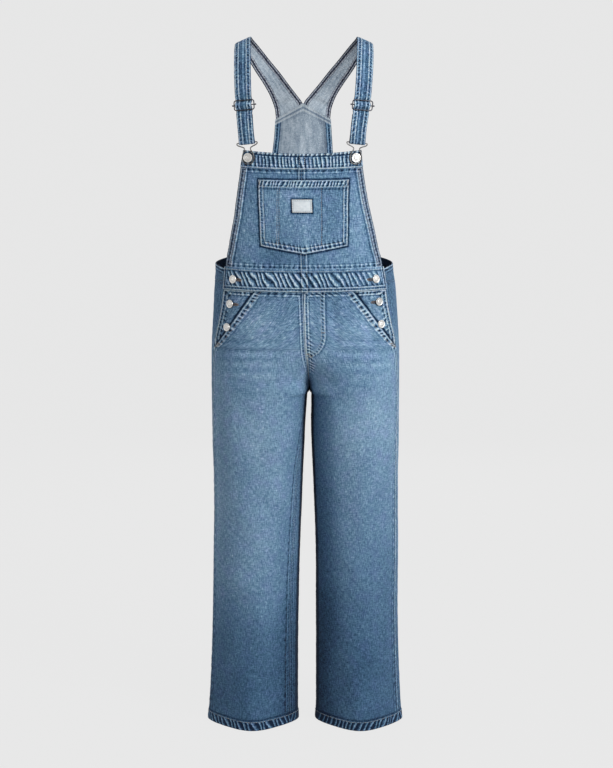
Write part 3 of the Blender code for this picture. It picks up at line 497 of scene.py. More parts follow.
def wallMesh(name, node, rows, cols, base, normals, low, high, uv, look, cut, restsOn, finish=None):
    # closed wall from low to high along the normal; look holds its shader fields by name
    shape = base.shape[:2]
    high = np.broadcast_to(high, shape)
    low = np.broadcast_to(low, shape)
    top = base + normals * high[..., None]
    under = base + normals * low[..., None]
    R, C = shape
    index = np.arange(R * C).reshape(R, C)
    quads = np.stack([index[:-1, :-1], index[:-1, 1:], index[1:, 1:], index[1:, :-1]], -1).reshape(-1, 4)
    n = R * C
    faces = [quads, quads[:, ::-1] + n]
    ring = np.concatenate([index[0, :], index[1:, -1], index[-1, -2::-1], index[-2:0:-1, 0]])
    ahead = np.roll(ring, -1)
    faces.append(np.stack([ahead, ring, ring + n, ahead + n], -1))
    faces = np.concatenate(faces)
    verts = np.concatenate([top.reshape(-1, 3), under.reshape(-1, 3)])
    first = verts[quads[:, 1]] - verts[quads[:, 0]]
    second = verts[quads[:, 3]] - verts[quads[:, 0]]
    if (np.cross(first, second) * normals[:-1, :-1].reshape(-1, 3)).sum() < 0:
        faces = faces[:, ::-1]
    mesh = bpy.data.meshes.new(name)
    mesh.from_pydata(toWorld(verts).tolist(), [], faces.tolist())
    mesh.shade_smooth()
    rim = np.zeros(len(mesh.polygons), bool)
    layer = mesh.uv_layers.new(name="cloth")
    flat = np.concatenate([uv.reshape(-1, 2)] * 2) * 0.001
    loops = np.zeros(len(mesh.loops), np.int32)
    mesh.loops.foreach_get("vertex_index", loops)
    layer.data.foreach_set("uv", flat[loops].ravel())
    fields = {"fade": 0.5, "wear": 0.0, "seam": 40.0, "along": 0.0, "stripes": 0.0, "phase": 0.0,
              "edge": 1.0, "lively": 0.0}
    fields.update(look)
    insideSkin = fields.pop("insideSkin", 1.0)
    foldInside = fields.pop("foldInside", 0.0)
    wearAndShadeInside = fields.pop("wearAndShadeInside", 0.0)
    fields["inside"] = 0.0
    fields.setdefault("fold", 0.0)
    for key, value in fields.items():
        data = mesh.attributes.new(key, "FLOAT", "POINT")
        outerHalf = np.broadcast_to(value, shape).reshape(-1)
        innerHalf = outerHalf
        if key == "inside":
            innerHalf = np.broadcast_to(insideSkin, shape).reshape(-1)
        if key == "fold":
            innerHalf = np.broadcast_to(foldInside, shape).reshape(-1)
        if key == "stripes":
            innerHalf = np.zeros(n)
        if key == "wear":
            innerHalf = np.broadcast_to(wearAndShadeInside, shape).reshape(-1)
        data.data.foreach_set("value", np.concatenate([outerHalf, innerHalf]).astype(np.float32))
    mesh.materials.append(finish or denim)
    mesh.set_sharp_from_angle(angle=math.radians(50))
    obj = bpy.data.objects.new(name, mesh)
    scene.collection.objects.link(obj)
    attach(obj, "root")
    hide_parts(node)
    panels[name] = Panel(np.asarray(rows, float), cols, top, gridNormals(top, normals))
    panels[name + "Inside"] = Panel(np.asarray(rows, float), cols, under, -gridNormals(under, normals))
    wide = np.linalg.norm(np.diff(base, axis=1), axis=-1).sum(1).max() * 0.001
    tall = np.linalg.norm(np.diff(base, axis=0), axis=-1).sum(0)[C // 2] * 0.001
    first = base[:-1, 1:] - base[:-1, :-1]
    second = base[1:, :-1] - base[:-1, :-1]
    area = np.linalg.norm(np.cross(first, second), axis=-1).sum() * 1e-6
    print(f"{name}: {wide:.3f} x {tall:.3f} m, area {area:.4f}, {len(faces) * 2} triangles")
    if cut is None:
        cut = (wide, tall, min(area, wide * tall))
    return obj


def spaced(stretches):
    # places along a line from (start, stop, step) stretches, each shared point once
    out = [np.array([stretches[0][0]], float)]
    for start, stop, step in stretches:
        count = max(1, int(round((stop - start) / step)))
        out.append(np.linspace(start, stop, count + 1)[1:])
    return np.concatenate(out)


# ---------- trouser panels ----------
def seamTurns(side, h):
    # side seam turn, and where the front and back panels end inwards
    column = 1 if side < 0 else 2
    sideTurn = columnAt(seamRows, h, column)
    inseam = np.minimum(columnAt(seamRows, h, column + 2), 179.6)
    # the centre edges overlap a little from the crotch up, so that no light comes through
    centre = turnAt(airGap / 2 - 0.7 * smooth(h, 890, 850), h)
    above = h > crotchHeight
    return sideTurn, np.where(above, centre, inseam), np.where(above, -centre, inseam - 360.0)


def edgeTurn(h, distance=airGap / 2):
    return np.degrees(distance / columnAt(ringRows, h, 2))


def slantX(h):
    low = np.array(slantBottom)
    endX = float(ringX(seamTurns(1, low)[0], ringAt(low)))
    return endX + (slantTopX - endX) * (h - slantBottom) / (bandBottom - slantBottom)


# how washed the cloth is by height, viewer's left leg and right leg
washRows = ((-4, 0.30, 0.28), (60, 0.33, 0.33), (160, 0.37, 0.36), (215, 0.44, 0.40), (266, 0.50, 0.42),
            (330, 0.60, 0.48), (420, 0.64, 0.55), (520, 0.65, 0.60), (620, 0.65, 0.64), (720, 0.65, 0.65),
            (800, 0.60, 0.61), (870, 0.55, 0.56), (940, 0.52, 0.55), (1030, 0.50, 0.58), (1160, 0.47, 0.52))
# lighter and darker places on the front: x, height, half width, half height, amount
washPatches = (
    (-96, 300, 46, 90, 0.05), (-80, 640, 60, 120, 0.03), (128, 640, 46, 130, 0.05), (-84, 700, 46, 26, 0.03),
    (112, 820, 30, 40, 0.08), (-84, 820, 30, 36, 0.09), (6, 830, 26, 40, 0.06),
    (-30, 620, 14, 120, 0.03), (60, 1000, 60, 40, 0.03), (112, 1040, 22, 80, 0.06), (-118, 1040, 12, 90, 0.04),
    (-70, 960, 26, 16, -0.08), (-2, 1010, 40, 40, -0.03), (-60, 1090, 40, 30, 0.04), (60, 720, 26, 50, -0.12),
    (-150, 800, 30, 60, -0.06), (40, 870, 30, 24, -0.04), (150, 930, 30, 20, 0.04),
    (-96, 1045, 22, 50, 0.06), (60, 1045, 26, 50, -0.09), (96, 440, 50, 120, 0.03))
# whiskers: x0, height0, x1, height1, half width, amount; dark hollows and rubbed crests
whiskerRows = (
    (-168, 790, -66, 793, 3.0, -0.10), (-170, 783, -60, 786, 3.0, 0.10), (-170, 775, -52, 778, 3.4, -0.14),
    (-170, 766, -58, 769, 3.4, 0.10), (-168, 757, -48, 759, 3.6, -0.12), (-166, 747, -52, 748, 3.6, 0.10),
    (-162, 736, -56, 737, 4.0, -0.11), (-158, 724, -56, 723, 4.0, 0.08), (-150, 711, -62, 709, 5, -0.08),
    (-150, 694, -70, 691, 5, -0.05), (66, 797, 166, 794, 3.0, -0.09), (62, 788, 168, 784, 3.0, 0.09),
    (58, 779, 170, 774, 3.4, -0.13), (54, 769, 168, 764, 3.4, 0.09), (52, 758, 166, 753, 3.6, -0.12),
    (58, 747, 162, 743, 3.8, 0.09), (60, 735, 160, 731, 4.0, -0.10), (62, 721, 156, 718, 4.2, 0.07),
    (66, 706, 150, 704, 5, -0.07))


def washAt(side, face, x, h):
    fade = columnAt(washRows, h, 1) * (side < 0) + columnAt(washRows, h, 2) * (side > 0)
    if face > 0:
        for px, ph, wide, tall, amount in washPatches:
            fade = fade + amount * np.exp(-((x - px) / wide) ** 2 - ((h - ph) / tall) ** 2)
        for x0, h0, x1, h1, wide, amount in whiskerRows:
            dx, dh = x1 - x0, h1 - h0
            t = np.clip(((x - x0) * dx + (h - h0) * dh) / (dx * dx + dh * dh), 0.0, 1.0)
            away = np.hypot(x - x0 - t * dx, h - h0 - t * dh)
            taper = np.sin(np.pi * np.clip(0.12 + 0.76 * t, 0, 1))
            uneven = 0.7 + 0.5 * waver(x, h, 34.0, 16.0, 41)
            fade = fade + amount * bump(away, wide) * taper * uneven
    else:
        fade = fade + 0.06 * np.exp(-((h - 770) / 60.0) ** 2) - 0.03
    return fade + 0.02 * waver(x, h, 120.0, 160.0, 5 + face)


legPiece = {
    "rows": ((-3, 24, 1.5), (24, 660, 5.2), (660, 700, 1.8), (700, 800, 3.4), (800, 909, 2.4)),
    "backRows": ((-3, 24, 1.5), (24, 660, 6.5), (660, 700, 2.6), (700, 909, 4.4)),
    "edgeZone": 16.0, "edgeStep": 1.6, "flyZone": 48.0, "flyStep": 2.0, "middleStep": 3.4,
    "hemHeight": 15.0, "hemRise": 0.8, "hemRope": 0.5, "seamRope": 0.32, "slantRope": 0.5, "waistRope": 0.45,
    "flyWidth": 39.5, "flyBottom": 762.0, "flyStraight": 808.0,
}


def legPanel(side, face):
    look = legPiece
    heights = spaced(look["rows"] if face > 0 else look["backRows"])
    sideTurn, frontEnd, backEnd = seamTurns(side, heights)
    if face > 0:
        start = sideTurn + edgeTurn(heights)
        start = np.where(heights > slantBottom, turnAt(slantX(heights), heights), start)
        end = np.where(heights <= crotchHeight, frontEnd - edgeTurn(heights), frontEnd)
    else:
        start = sideTurn - edgeTurn(heights)
        end = np.where(heights <= crotchHeight, backEnd + edgeTurn(heights), backEnd)
    innerZone = look["flyZone"] if side > 0 and face > 0 else look["edgeZone"]
    innerStep = look["flyStep"] if side > 0 and face > 0 else look["edgeStep"]
    width = 230.0
    places = spaced([(0, look["edgeZone"], look["edgeStep"]), (look["edgeZone"], width - innerZone, look["middleStep"]),
                     (width - innerZone, width, innerStep)])
    turns, arcs, lengths = [], [], []
    for h, a, b in zip(heights, start, end):
        fine = np.linspace(a, b, 260)
        ring = ringAt(np.full(260, h))
        x, y = ringX(fine, ring), ringY(fine, ring)
        s = np.concatenate([[0], np.cumsum(np.hypot(np.diff(x), np.diff(y)))])
        total = s[-1]
        # the two edge zones keep their width, the middle stretches
        zone, inner = look["edgeZone"], innerZone
        spots = np.interp(places, [0, zone, width - inner, width], [0, zone, total - inner, total])
        turns.append(np.interp(spots, s, fine))
        arcs.append(spots)
        lengths.append(total)
    turn, arc = np.array(turns), np.array(arcs)
    length = np.array(lengths)[:, None] + 0 * arc
    h = heights[:, None] + 0 * arc
    base, normals = surfaceAt(np.full(h.shape, float(side)), turn, h)
    x = side * ringX(turn, ringAt(h))
    toInner = length - arc
    slanted = (h > slantBottom - 4) & (face > 0)
    toSide = np.where(slanted, arc * 0.79, arc)
    sideSeam = toSide / 1.5
    toTop = np.maximum(0.0, bandBottom - h) if face > 0 else np.maximum(0.0, 909.0 - h)
    seed = 10 + (side > 0) * 3 + (face > 0) * 7
    # relief: hem roping, puckers beside the seams, under the waistband and along the slant
    hem = smooth(h, 15.6, 14.6)
    relief = look["hemRise"] * hem
    relief = relief + look["hemRope"] * puckers(arc, h, 10.5, 0.5, seed) * smooth(h, 26, 13) * smooth(h, -4, 2)
    relief = relief + look["seamRope"] * puckers(h, toSide, 15.0, 0.4, seed + 1) * smooth(toSide, 20, 5) * smooth(h, 14, 24) * ~slanted
    relief = relief + look["slantRope"] * puckers(h * 1.27, toSide, 11.0, 0.5, seed + 2) * smooth(toSide, 18, 7) * slanted
    relief = relief + look["seamRope"] * puckers(h, toInner, 14.0, 0.5, seed + 3) * smooth(toInner, 22, 6) * smooth(h, 14, 24)
    relief = relief + look["waistRope"] * puckers(x, toTop, 13.0, 0.2, seed + 4) * smooth(toTop, 30, 4)
    relief = relief + 0.22 * waver(arc, h, 16.0, 22.0, seed + 5)
    relief = relief - 0.5 * bump(toSide, 1.2) - 0.5 * bump(toInner, 1.2) * (1 - smooth(h, 660, 690) * smooth(h, 890, 860))
    # topstitched edges sit a little proud of the cloth beside them
    relief = relief + 0.35 * smooth(toSide, 10.5, 8.5) * slanted
    hemPhase = ropePhase(arc, h, 10.5, 0.5, seed)
    stripes = 0.46 * smooth(h, 14.2, 12.2) + 0.22 * smooth(toTop, 16, 3) * (face > 0)
    phase = np.where(h < 100, hemPhase, ropePhase(x, toTop, 13.0, 0.2, seed + 4))
    wear = -0.16 * hem - 0.30 * bump(h - 17.6, 1.6) + 0.12 * bump(h - 14.2, 1.2) + 0 * h
    # a painted shadow line on the front legs just under the waistband's lower edge
    wear = wear - 0.30 * bump(toTop - 1.5, 2.0) * (face > 0)
    # painted shade on the legs' inner sides, which turn away from the light; on the left leg the painted shade reaches
    # further
    ring = ringAt(h)
    inward = np.abs(x) - ring["inner"]
    lower = smooth(h, 694, 684)
    wear = wear - (0.62 * smooth(inward, 6.5, 2.5) + (0.20 if side > 0 else 0.12) * smooth(inward, 60, 8)) * lower
    # a painted highlight along the legs' outer sides
    outward = ring["outer"] - np.abs(x)
    wear = wear + (0.06 * smooth(outward, 30, 4) if side < 0 else 0.10 * smooth(outward, 26, 2)) * lower
    beside = 0.62 if face > 0 else 0.22
    edge = np.where(sideSeam < toInner, beside, 0.42 + 0.5 * smooth(h, 720, 780)) * (0.25 + 0.75 * smooth(h, 16, 24))
    lively = 0.15 + (0.55 if face > 0 else 0.2) * smooth(h, 730, 830)
    # painted shade at the top of the gap between the legs
    wear = wear - 0.5 * bump(h - 686, 5.0) * smooth(np.abs(x), 9, 4)
    # roping shows as a row of dark dots beside the seams
    dots = 0.5 + 0.5 * np.sin(2 * np.pi * h / 7.5 + 1.5 * waver(h, 0 * h, 60.0, 50.0, seed + 6))
    wear = wear - 0.42 * dots * (bump(toInner - 12.5, 2.0) + bump(toSide - 12.0, 2.4)) * lower * smooth(h, 18, 26) * (face > 0)
    # a painted shadow line along the centre edge of the right front panel, where the fly overlaps it; a light line
    # beside the fly's edge on the left panel
    if face > 0 and side < 0:
        wear = wear - 0.5 * bump(toInner - 0.6, 1.7) * (h > 700)
    if face > 0 and side > 0:
        wear = wear + 0.30 * bump(toInner - 2.6, 1.4) * (h > 700)
    if face < 0:
        # the strip behind the side opening is less washed
        wear = wear - 0.12 * smooth(arc, 66, 24) * smooth(h, 735, 850)
    fade = washAt(side, face, x, h)
    if face > 0 and side > 0:
        flyX = np.where(h > look["flyStraight"], look["flyWidth"],
                        look["flyWidth"] * np.sqrt(np.clip(1 - ((look["flyStraight"] - h) / (look["flyStraight"] - look["flyBottom"])) ** 2, 0, 1)))
        inFly = smooth(x, flyX + 1.0, flyX - 1.0) * (h > look["flyBottom"])
        relief = relief + 0.45 * inFly
        relief = relief + 0.3 * puckers(h, x, 12.0, 0.6, seed + 8) * bump(x - flyX + 4, 7.0) * (h > look["flyBottom"] - 6)
        fly = smooth(h, look["flyBottom"] - 2, look["flyBottom"] + 2)
        wear = wear + (0.34 * bump(x - flyX, 1.5) - 0.34 * bump(x - flyX - 3.2, 1.8) - 0.22 * bump(x - flyX + 3.6, 1.6)) * fly
        stripes = stripes + 0.30 * bump(x - flyX + 3.6, 2.6) * fly + 0.40 * bump(x - 8.0, 6.0) * smooth(h, 830, 790) * smooth(h, 722, 740)
        phase = np.where(h < 100, phase, ropePhase(h, x, 7.5, 0.6, seed + 8))
    if face > 0:
        mouth = slanted * smooth(toSide, 22, 17)
        stripes = stripes * (1 - mouth) + 0.50 * bump(toSide - 8.6, 4.0) * slanted
        phase = np.where(mouth > 0.5, ropePhase(h * 1.27, toSide, 10.0, 0.5, seed + 2), phase)
        wear = wear + 0.55 * bump(toSide - 6.0, 5.0) * bump(h - 781.0, 4.5)
    seam = np.minimum(np.minimum(sideSeam, toInner), np.minimum(h + 2.0, toTop + 1.0))
    if face < 0:
        edge = np.where(toTop + 1.0 <= seam + 1e-6, 0.6 * smooth(np.abs(x), 140, 70), edge)
    along = np.where((h + 2.0 <= seam + 1e-6) | (toTop + 1.0 <= seam + 1e-6), arc, h)
    # the dark inside fold at the hem
    name = f"{'front' if face > 0 else 'back'}Leg{'Right' if side < 0 else 'Left'}"
    node = f"{'front' if face > 0 else 'back'}_leg_{'right' if side < 0 else 'left'}"
    uv = np.stack([arc + 300.0 * (side > 0) + 700.0 * (face > 0), h], -1)
    hemInside = smooth(h, 17, 14)
    return wallMesh(name, node, heights, arc, base, normals, -clothWall, relief, uv,
                    {"fade": fade, "wear": wear, "seam": seam, "along": along, "stripes": stripes, "phase": phase,
                     "edge": edge, "lively": lively, "foldInside": hemInside}, None, ["frontWaistband"] if face > 0 else ["backUpper"])


for side in (-1, 1):
    legPanel(side, 1)
    legPanel(side, -1)
print("leg panels made")

facingPiece = {"tuck": 14.0, "under": 0.9, "step": 2.0, "stitchIn": 7.5, "rope": 0.3}


def hipFacing(side):
    look = facingPiece
    heights = spaced([(779, 868, 2.2), (868, 909, 2.2)])
    h1 = heights
    sideTurn = seamTurns(side, h1)[0] + edgeTurn(h1)
    inner = turnAt(slantX(h1) - look["tuck"], h1)
    mouth = turnAt(slantX(h1) + 0.6, h1)
    shares = np.concatenate([np.linspace(0, 1, 6), np.linspace(1, 2, 40)[1:]])
    turn = np.stack([np.interp(shares, [0, 1, 2], [a, b, c]) for a, b, c in zip(inner, mouth, sideTurn)])
    h = h1[:, None] + 0 * turn
    base, normals = surfaceAt(np.full(h.shape, float(side)), turn, h)
    x = ringX(turn, ringAt(h))
    clear = np.maximum(0.0, x - slantX(h) - 1.5)
    lift = -clothWall - look["under"] + np.minimum(clothWall + look["under"], 0.3 * clear)
    edgeX = ringX(sideTurn[:, None] + 0 * turn, ringAt(h))
    step = np.linalg.norm(np.diff(base, axis=1), axis=-1)
    arc = np.concatenate([np.zeros((len(h1), 1)), np.cumsum(step, axis=1)], axis=1)
    toSide = arc[:, -1:] - arc
    toTop = np.maximum(0.0, bandBottom - h)
    relief = look["rope"] * puckers(h, toSide, 12.0, 0.4, 61 + side) * smooth(toSide, 20, 6) * smooth(clear, 1, 6)
    relief = relief + 0.3 * puckers(x, toTop, 11.0, 0.3, 63 + side) * smooth(toTop, 20, 3) * smooth(clear, 1, 6)
    relief = relief + 0.35 * smooth(toSide, 9.5, 8.0) * smooth(clear, 2, 6) - 0.5 * bump(toSide, 1.0)
    shade = -0.85 * smooth(clear, 5, 1) + 0.55 * bump(toSide - 3.4, 1.6)
    fade = washAt(side, 1, side * x, h) + 0.02
    seam = np.minimum(toSide / 1.7, toTop + 1.0)
    along = np.where(toTop + 1.0 < toSide / 1.7, x, h)
    tag = "Right" if side < 0 else "Left"
    uv = np.stack([arc + 1200.0 + 90.0 * side, h], -1)
    wallMesh("hipFacing" + tag, "hip_facing_" + tag.lower(), heights, toSide[:, ::-1], base[:, ::-1], normals[:, ::-1],
             (lift - clothWall)[:, ::-1], (lift + relief)[:, ::-1], uv[:, ::-1],
             {"fade": fade[:, ::-1], "wear": shade[:, ::-1], "seam": seam[:, ::-1], "along": along[:, ::-1],
              "lively": 0.9, "edge": 1.3, "stripes": (0.3 * smooth(toTop, 16, 3) + 0.34 * bump(toSide - 19, 5))[:, ::-1], "phase": np.where(toSide < 26, ropePhase(h, toSide, 10.0, 0.4, 61 + side),
                                ropePhase(x, toTop, 9.0, 0.3, 63 + side))[:, ::-1]},
             None, ["frontWaistband"])


for side in (-1, 1):
    hipFacing(side)


# ---------- back piece ----------
backPiece = {"hem": 14.0, "point": 1231.0, "rope": 0.35, "columns": 110}


def backUpper():
    look = backPiece
    lowRows = ((909.8, 33.2), (924.0, 32.8), (934.0, 32.0), (937.5, 22.0), (941.5, 4.0), (946.5, -16.0))
    keys = [row[0] for row in lowRows] + [row[0] for row in backRows]
    ends = [row[1] for row in lowRows] + [-float(turnAt(np.array(row[1]), np.array(float(row[0])))) for row in backRows]
    heights = spaced([(909.8, 934, 3.0), (934, 951, 1.6), (951, 1231, 3.2)])
    end = np.interp(heights, keys, ends)
    rise = np.where(heights > 1085, columnAt(backRows, heights, 2), 0.0)
    t = np.linspace(-1, 1, look["columns"] + 1)
    t = t * (1 + 0.12 * (1 - t * t))
    turn = -90.0 + (90.0 + end[:, None]) * np.abs(t)[None, :]
    side = np.where(t >= 0, 1.0, -1.0)[None, :] + 0 * turn
    h = heights[:, None] + rise[:, None] * (1 - np.abs(t))[None, :]
    base, normals = surfaceAt(side, turn, h)
    x = side * ringX(turn, ringAt(h))
    step = np.linalg.norm(np.diff(base, axis=1), axis=-1)
    arc = np.concatenate([np.zeros((len(heights), 1)), np.cumsum(step, axis=1)], axis=1)
    half = arc[:, -1:] / 2
    toEdge = half - np.abs(arc - half)
    # the upper edge slants, so the distance to it is measured point by point
    for k in (0, -1):
        edgeLine = np.concatenate([base[:-1, k], (base[:-1, k] + base[1:, k]) / 2, base[-1:, k]])
        nearest = np.linalg.norm(base[:, :, None, :] - edgeLine[None, None, :, :], axis=-1).min(-1)
        toEdge = np.minimum(toEdge, nearest)
    toTip = (1231.0 - heights)[:, None] * 0.86 + 0 * h
    toLow = h - 909.0
    toWaistHem = np.where(h < 938, np.maximum(0, 938.0 - h), 0.0)
    relief = look["rope"] * puckers(h, toEdge, 13.0, 0.4, 71) * smooth(toEdge, 22, 8) * (h > 936)
    relief = relief + look["rope"] * puckers(arc, toTip, 12.0, 0.3, 72) * smooth(toTip, 20, 8)
    relief = relief + 0.35 * puckers(arc, toLow, 13.0, 0.3, 73) * smooth(toLow, 22, 4)
    relief = relief + 0.2 * waver(arc, h, 18.0, 24.0, 74) - 0.4 * bump(toEdge, 1.2)
    relief = relief + 0.5 * smooth(toEdge, 14.5, 13.0)
    rim = np.minimum(toEdge, toTip)
    fade = 0.50 + 0.05 * waver(x, h, 90.0, 120.0, 75) - 0.02 * (h > 1000)
    seam = np.minimum(rim, toLow + 1)
    edge = np.where(toLow + 1 < rim, 0.6 * smooth(np.abs(x), 140, 70), 1.0)
    along = np.where((toTip < toEdge) | (toLow + 1 < rim), arc, h)
    # the hems turn the dark face inwards
    wear = 1.1 * bump(toTip - 2.2, 1.4) - 1.3 * bump(toTip - 5.2, 1.4) + 1.0 * bump(toTip - 8.6, 1.4) - 0.8 * bump(toTip - 11.6, 1.6)
    wear = wear + 0.34 * waver(arc, h, 12.0, 90.0, 77) + 0.16 * waver(arc + 0.4 * h, h, 20.0, 60.0, 78)
    # painted shade on the inside towards the viewer's right near the top, and a dark line along the side hems' inner
    # edge
    wear = wear - 0.5 * smooth(x, 22, 44) * smooth(h, 1120, 1180) - 0.5 * bump(toEdge - 14.5, 1.6)
    sideHem = smooth(toEdge, 12.6, 11.6) * smooth(toTip, 8, 11)
    # low in the middle the inside is painted nearly black: painted shade deep in the hollow of the garment
    shadedHollow = smooth(h, 958, 948) * smooth(np.abs(x), 80, 120)
    insideSkin = (1 - shadedHollow) * (1 - sideHem)
    wear = wear * (1 - sideHem) - 0.8 * shadedHollow - 0.10 * sideHem
    beside = -0.12 * smooth(half - np.abs(arc - half), 66, 24) * smooth(h, 960, 925)
    foldInside = 0 * h
    uv = np.stack([arc - half + 1600.0, h], -1)
    wallMesh("backUpper", "back_upper", heights, t[None, :] + 0 * h, base, normals, -clothWall - 0.5 * smooth(toEdge, 14.5, 13.0), relief, uv,
             {"fade": fade, "wear": beside, "lively": 0.3, "edge": edge, "seam": seam, "along": along, "insideSkin": insideSkin, "foldInside": foldInside, "wearAndShadeInside": wear},
             None, ["strapRight", "strapLeft"])


backUpper()

# ---------- bib and its layers ----------
labelPiece = {"half": 19.0, "bottom": 1047.0, "top": 1071.2, "thick": 1.0, "curl": 0.5}
pocketPiece = {"corner": 982.0, "top": 1108.5, "tip": 967.5, "thick": 1.1, "hem": 15.0, "hemRise": 0.7, "rope": 0.4}
bibPiece = {"seamHalf": 6.0, "seamRise": 0.8, "hem": 13.0, "hemRise": 0.9, "top": 1160.0, "rope": 0.34}


def bibHalf(side):
    look = bibPiece
    heights = spaced([(909.8, 935, 4.0), (935, 960, 1.8), (960, 1126, 1.9), (1126, 1160, 2.0)])
    half = columnAt(bibRows, heights)
    places = spaced([(0, 9, 1.0), (9, 100, 1.7), (100, 116, 1.1)])
    x = np.stack([np.interp(places, [0, 9, 100, 116], [airGap / 2, 9, e - 16, e]) for e in half])
    h = heights[:, None] + 0 * x
    base, normals = frontAt(side * x, h)
    toEdge = half[:, None] - x
    toTop = np.maximum(0.0, 1130.0 - h)
    toLow = np.maximum(0.0, h - bandTop)
    shown = smooth(h, 938.6, 939.6) * smooth(h, 1130, 1129)
    lift = shown * (look["seamRise"] * smooth(x, 6.5, 5.6) + look["hemRise"] * smooth(toEdge, 12.4, 13.2) * 0
                    + look["hemRise"] * smooth(toEdge, 13.2, 12.4))
    seed = 81 + (side > 0)
    relief = look["rope"] * puckers(h, toEdge, 11.0, 0.5, seed) * smooth(toEdge, 19, 8)
    relief = relief + 0.26 * puckers(h, x, 10.0, 0.5, seed + 3) * smooth(x, 14, 5)
    relief = relief + look["rope"] * puckers(x, toTop, 11.5, 0.3, seed + 5) * smooth(toTop, 26, 2)
    relief = relief + look["rope"] * puckers(x, toLow, 12.0, 0.2, seed + 7) * smooth(toLow, 28, 3)
    relief = relief + 0.18 * waver(x, h, 14.0, 20.0, seed + 9) - 0.45 * bump(toEdge, 1.1)
    relief = relief * smooth(h, 936, 944) * smooth(h, 1131, 1128)
    fade = washAt(side, 1, side * x, h)
    wear = 0.30 * bump(x - 5.8, 1.2) - 0.34 * bump(x - 8.2, 1.4) - 0.30 * bump(x - 1.2, 1.4) - 0.40 * bump(toEdge - 15.0, 1.5)
    wear = wear + 0.34 * bump(toEdge - 12.4, 1.3) - 0.16 * smooth(toEdge, 12, 9)
    stripes = 0.20 * smooth(toTop, 14, 2) * smooth(toTop, 0, 2) + 0.20 * smooth(toLow, 16, 3) * smooth(toLow, 0, 2)
    stripes = stripes * smooth(toEdge, 12, 17) * smooth(x, 6, 10) + 0.26 * bump(toEdge - 6.4, 3.0)
    # the pocket's edge throws a shade on the bib
    share = (h - pocketPiece["corner"]) / (pocketPiece["top"] - pocketPiece["corner"])
    off = np.abs(side * x - 1.3 - 2.3 * share) - 84.5 - 2.9 * share
    foot = pocketPiece["corner"] + (pocketPiece["tip"] - pocketPiece["corner"]) * np.maximum(0.0, 1 - np.abs(side * x - 1.3) / 84.5)
    outside = np.maximum(np.maximum(off, foot - h), h - pocketPiece["top"])
    wear = wear - 0.75 * bump(outside - 0.8, 1.9)
    phase = np.where(h > 1070, ropePhase(x, toTop, 11.5, 0.3, seed + 5), ropePhase(x, toLow, 10.0, 0.2, seed + 7))
    phase = np.where(toEdge < 14.5, ropePhase(h, toEdge, 7.5, 0.5, seed), phase)
    # painted shadow under the top band's lower edge, and a fainter one along the waistband's top edge
    wear = wear - 0.12 * bump(toLow - 1.0, 1.6) - 0.30 * bump(toTop - 0.8, 1.6)
    foldOutside = 0.5 * smooth(toEdge, 11.8, 10.8)
    seam = np.minimum(np.minimum(toEdge, 40.0 + 0 * x), np.minimum(toTop + 1.5, toLow + 1.5))
    along = np.where((toTop + 1.5 <= seam + 1e-6) | (toLow + 1.5 <= seam + 1e-6), x, h)
    tag = "Right" if side < 0 else "Left"
    uv = np.stack([side * x + 2000.0, h], -1)
    hemIn = smooth(toEdge, 14, 12.5)
    wallMesh("bib" + tag, "bib_" + tag.lower(), heights, x, base, normals, -clothWall, lift + relief, uv,
             {"fade": fade, "wear": wear, "seam": seam, "along": along, "stripes": stripes, "phase": phase,
              "fold": foldOutside, "foldInside": hemIn, "edge": 0.6, "lively": 0.45},
             None, ["bibTopBand", "frontWaistband"])


for side in (-1, 1):
    bibHalf(side)

topBandPiece = {"bottom": 1130.0, "top": 1163.0, "thick": 1.5, "rope": 0.42, "pitch": 9.0}


def bibTopBand():
    look = topBandPiece
    heights = spaced([(look["bottom"], look["top"], 1.5)])
    edge = columnAt(bibRows, heights) + 0.3
    t = np.linspace(-1, 1, 190)
    x = edge[:, None] * t[None, :]
    h = heights[:, None] + 0 * x
    base, normals = frontAt(x, h)
    up = h - look["bottom"]
    down = look["top"] - h
    toEnd = edge[:, None] - np.abs(x)
    between = smooth(up, 0, 5) * smooth(down, 0, 4)
    relief = look["rope"] * puckers(x, up, look["pitch"], 0.12, 91) * (0.25 + 0.75 * between)
    relief = relief - 0.35 * bump(up - 2.2, 1.2) - 0.3 * bump(down - 3.0, 1.2)
    relief = relief - 0.5 * bump(up, 0.8) - 0.6 * bump(down, 0.9) - 0.5 * bump(toEnd, 0.9)
    seamHill = 0.5 * smooth(np.abs(x), 6.8, 5.4)
    # the viewer's right half is painted lighter and the left half darker: painted light from the right
    fade = washAt(1, 1, x, h) - 0.02 + 0.04 * np.sign(x) * smooth(np.abs(x), 4, 30)
    wear = -0.10 * bump(down - 6.0, 2.5) + 0.22 * bump(up - 1.4, 1.2) - 0.16 * smooth(toEnd, 22, 12)
    wear = wear - 0.50 * bump(np.abs(x) - 7.6, 1.8) + 0.2 * bump(np.abs(x) - 4.8, 1.3)
    stripes = 0.44 * smooth(up, 2, 6) * smooth(down, 6, 9) + 0.56 * smooth(down, 5.6, 4.8)
    phase = np.where(down < 5.7, ropePhase(x, down, 8.8, 0.1, 92), ropePhase(x, up, 7.4, 0.12, 91))
    wear = wear - 0.34 * bump(down - 6.2, 1.2)
    seam = np.minimum(np.minimum(up, down), toEnd)
    uv = np.stack([x + 2400.0, h], -1)
    wallMesh("bibTopBand", "bib_top_band", heights, x, base, normals, airGap, airGap + look["thick"] + seamHill + relief, uv,
             {"fade": fade, "wear": wear, "seam": seam, "along": x, "insideSkin": 0.0, "stripes": stripes,
              "phase": phase, "edge": 0.7, "lively": 1.0}, None, ["bibLeft", "bibRight"])


bibTopBand()

def seamLift(x):
    clear = (np.abs(x) - 8.0) / 8.0
    return airGap + 0.8 * (1.0 - np.clip(clear, 0, 1))


def pocketPlace(share, t):
    look = pocketPiece
    height = look["corner"] + (look["top"] - look["corner"]) * share
    x = 1.3 + 2.3 * share + (84.5 + 2.9 * share) * t
    return x, height + (look["tip"] - look["corner"]) * (1 - share) ** 2 * (1 - np.abs(t))


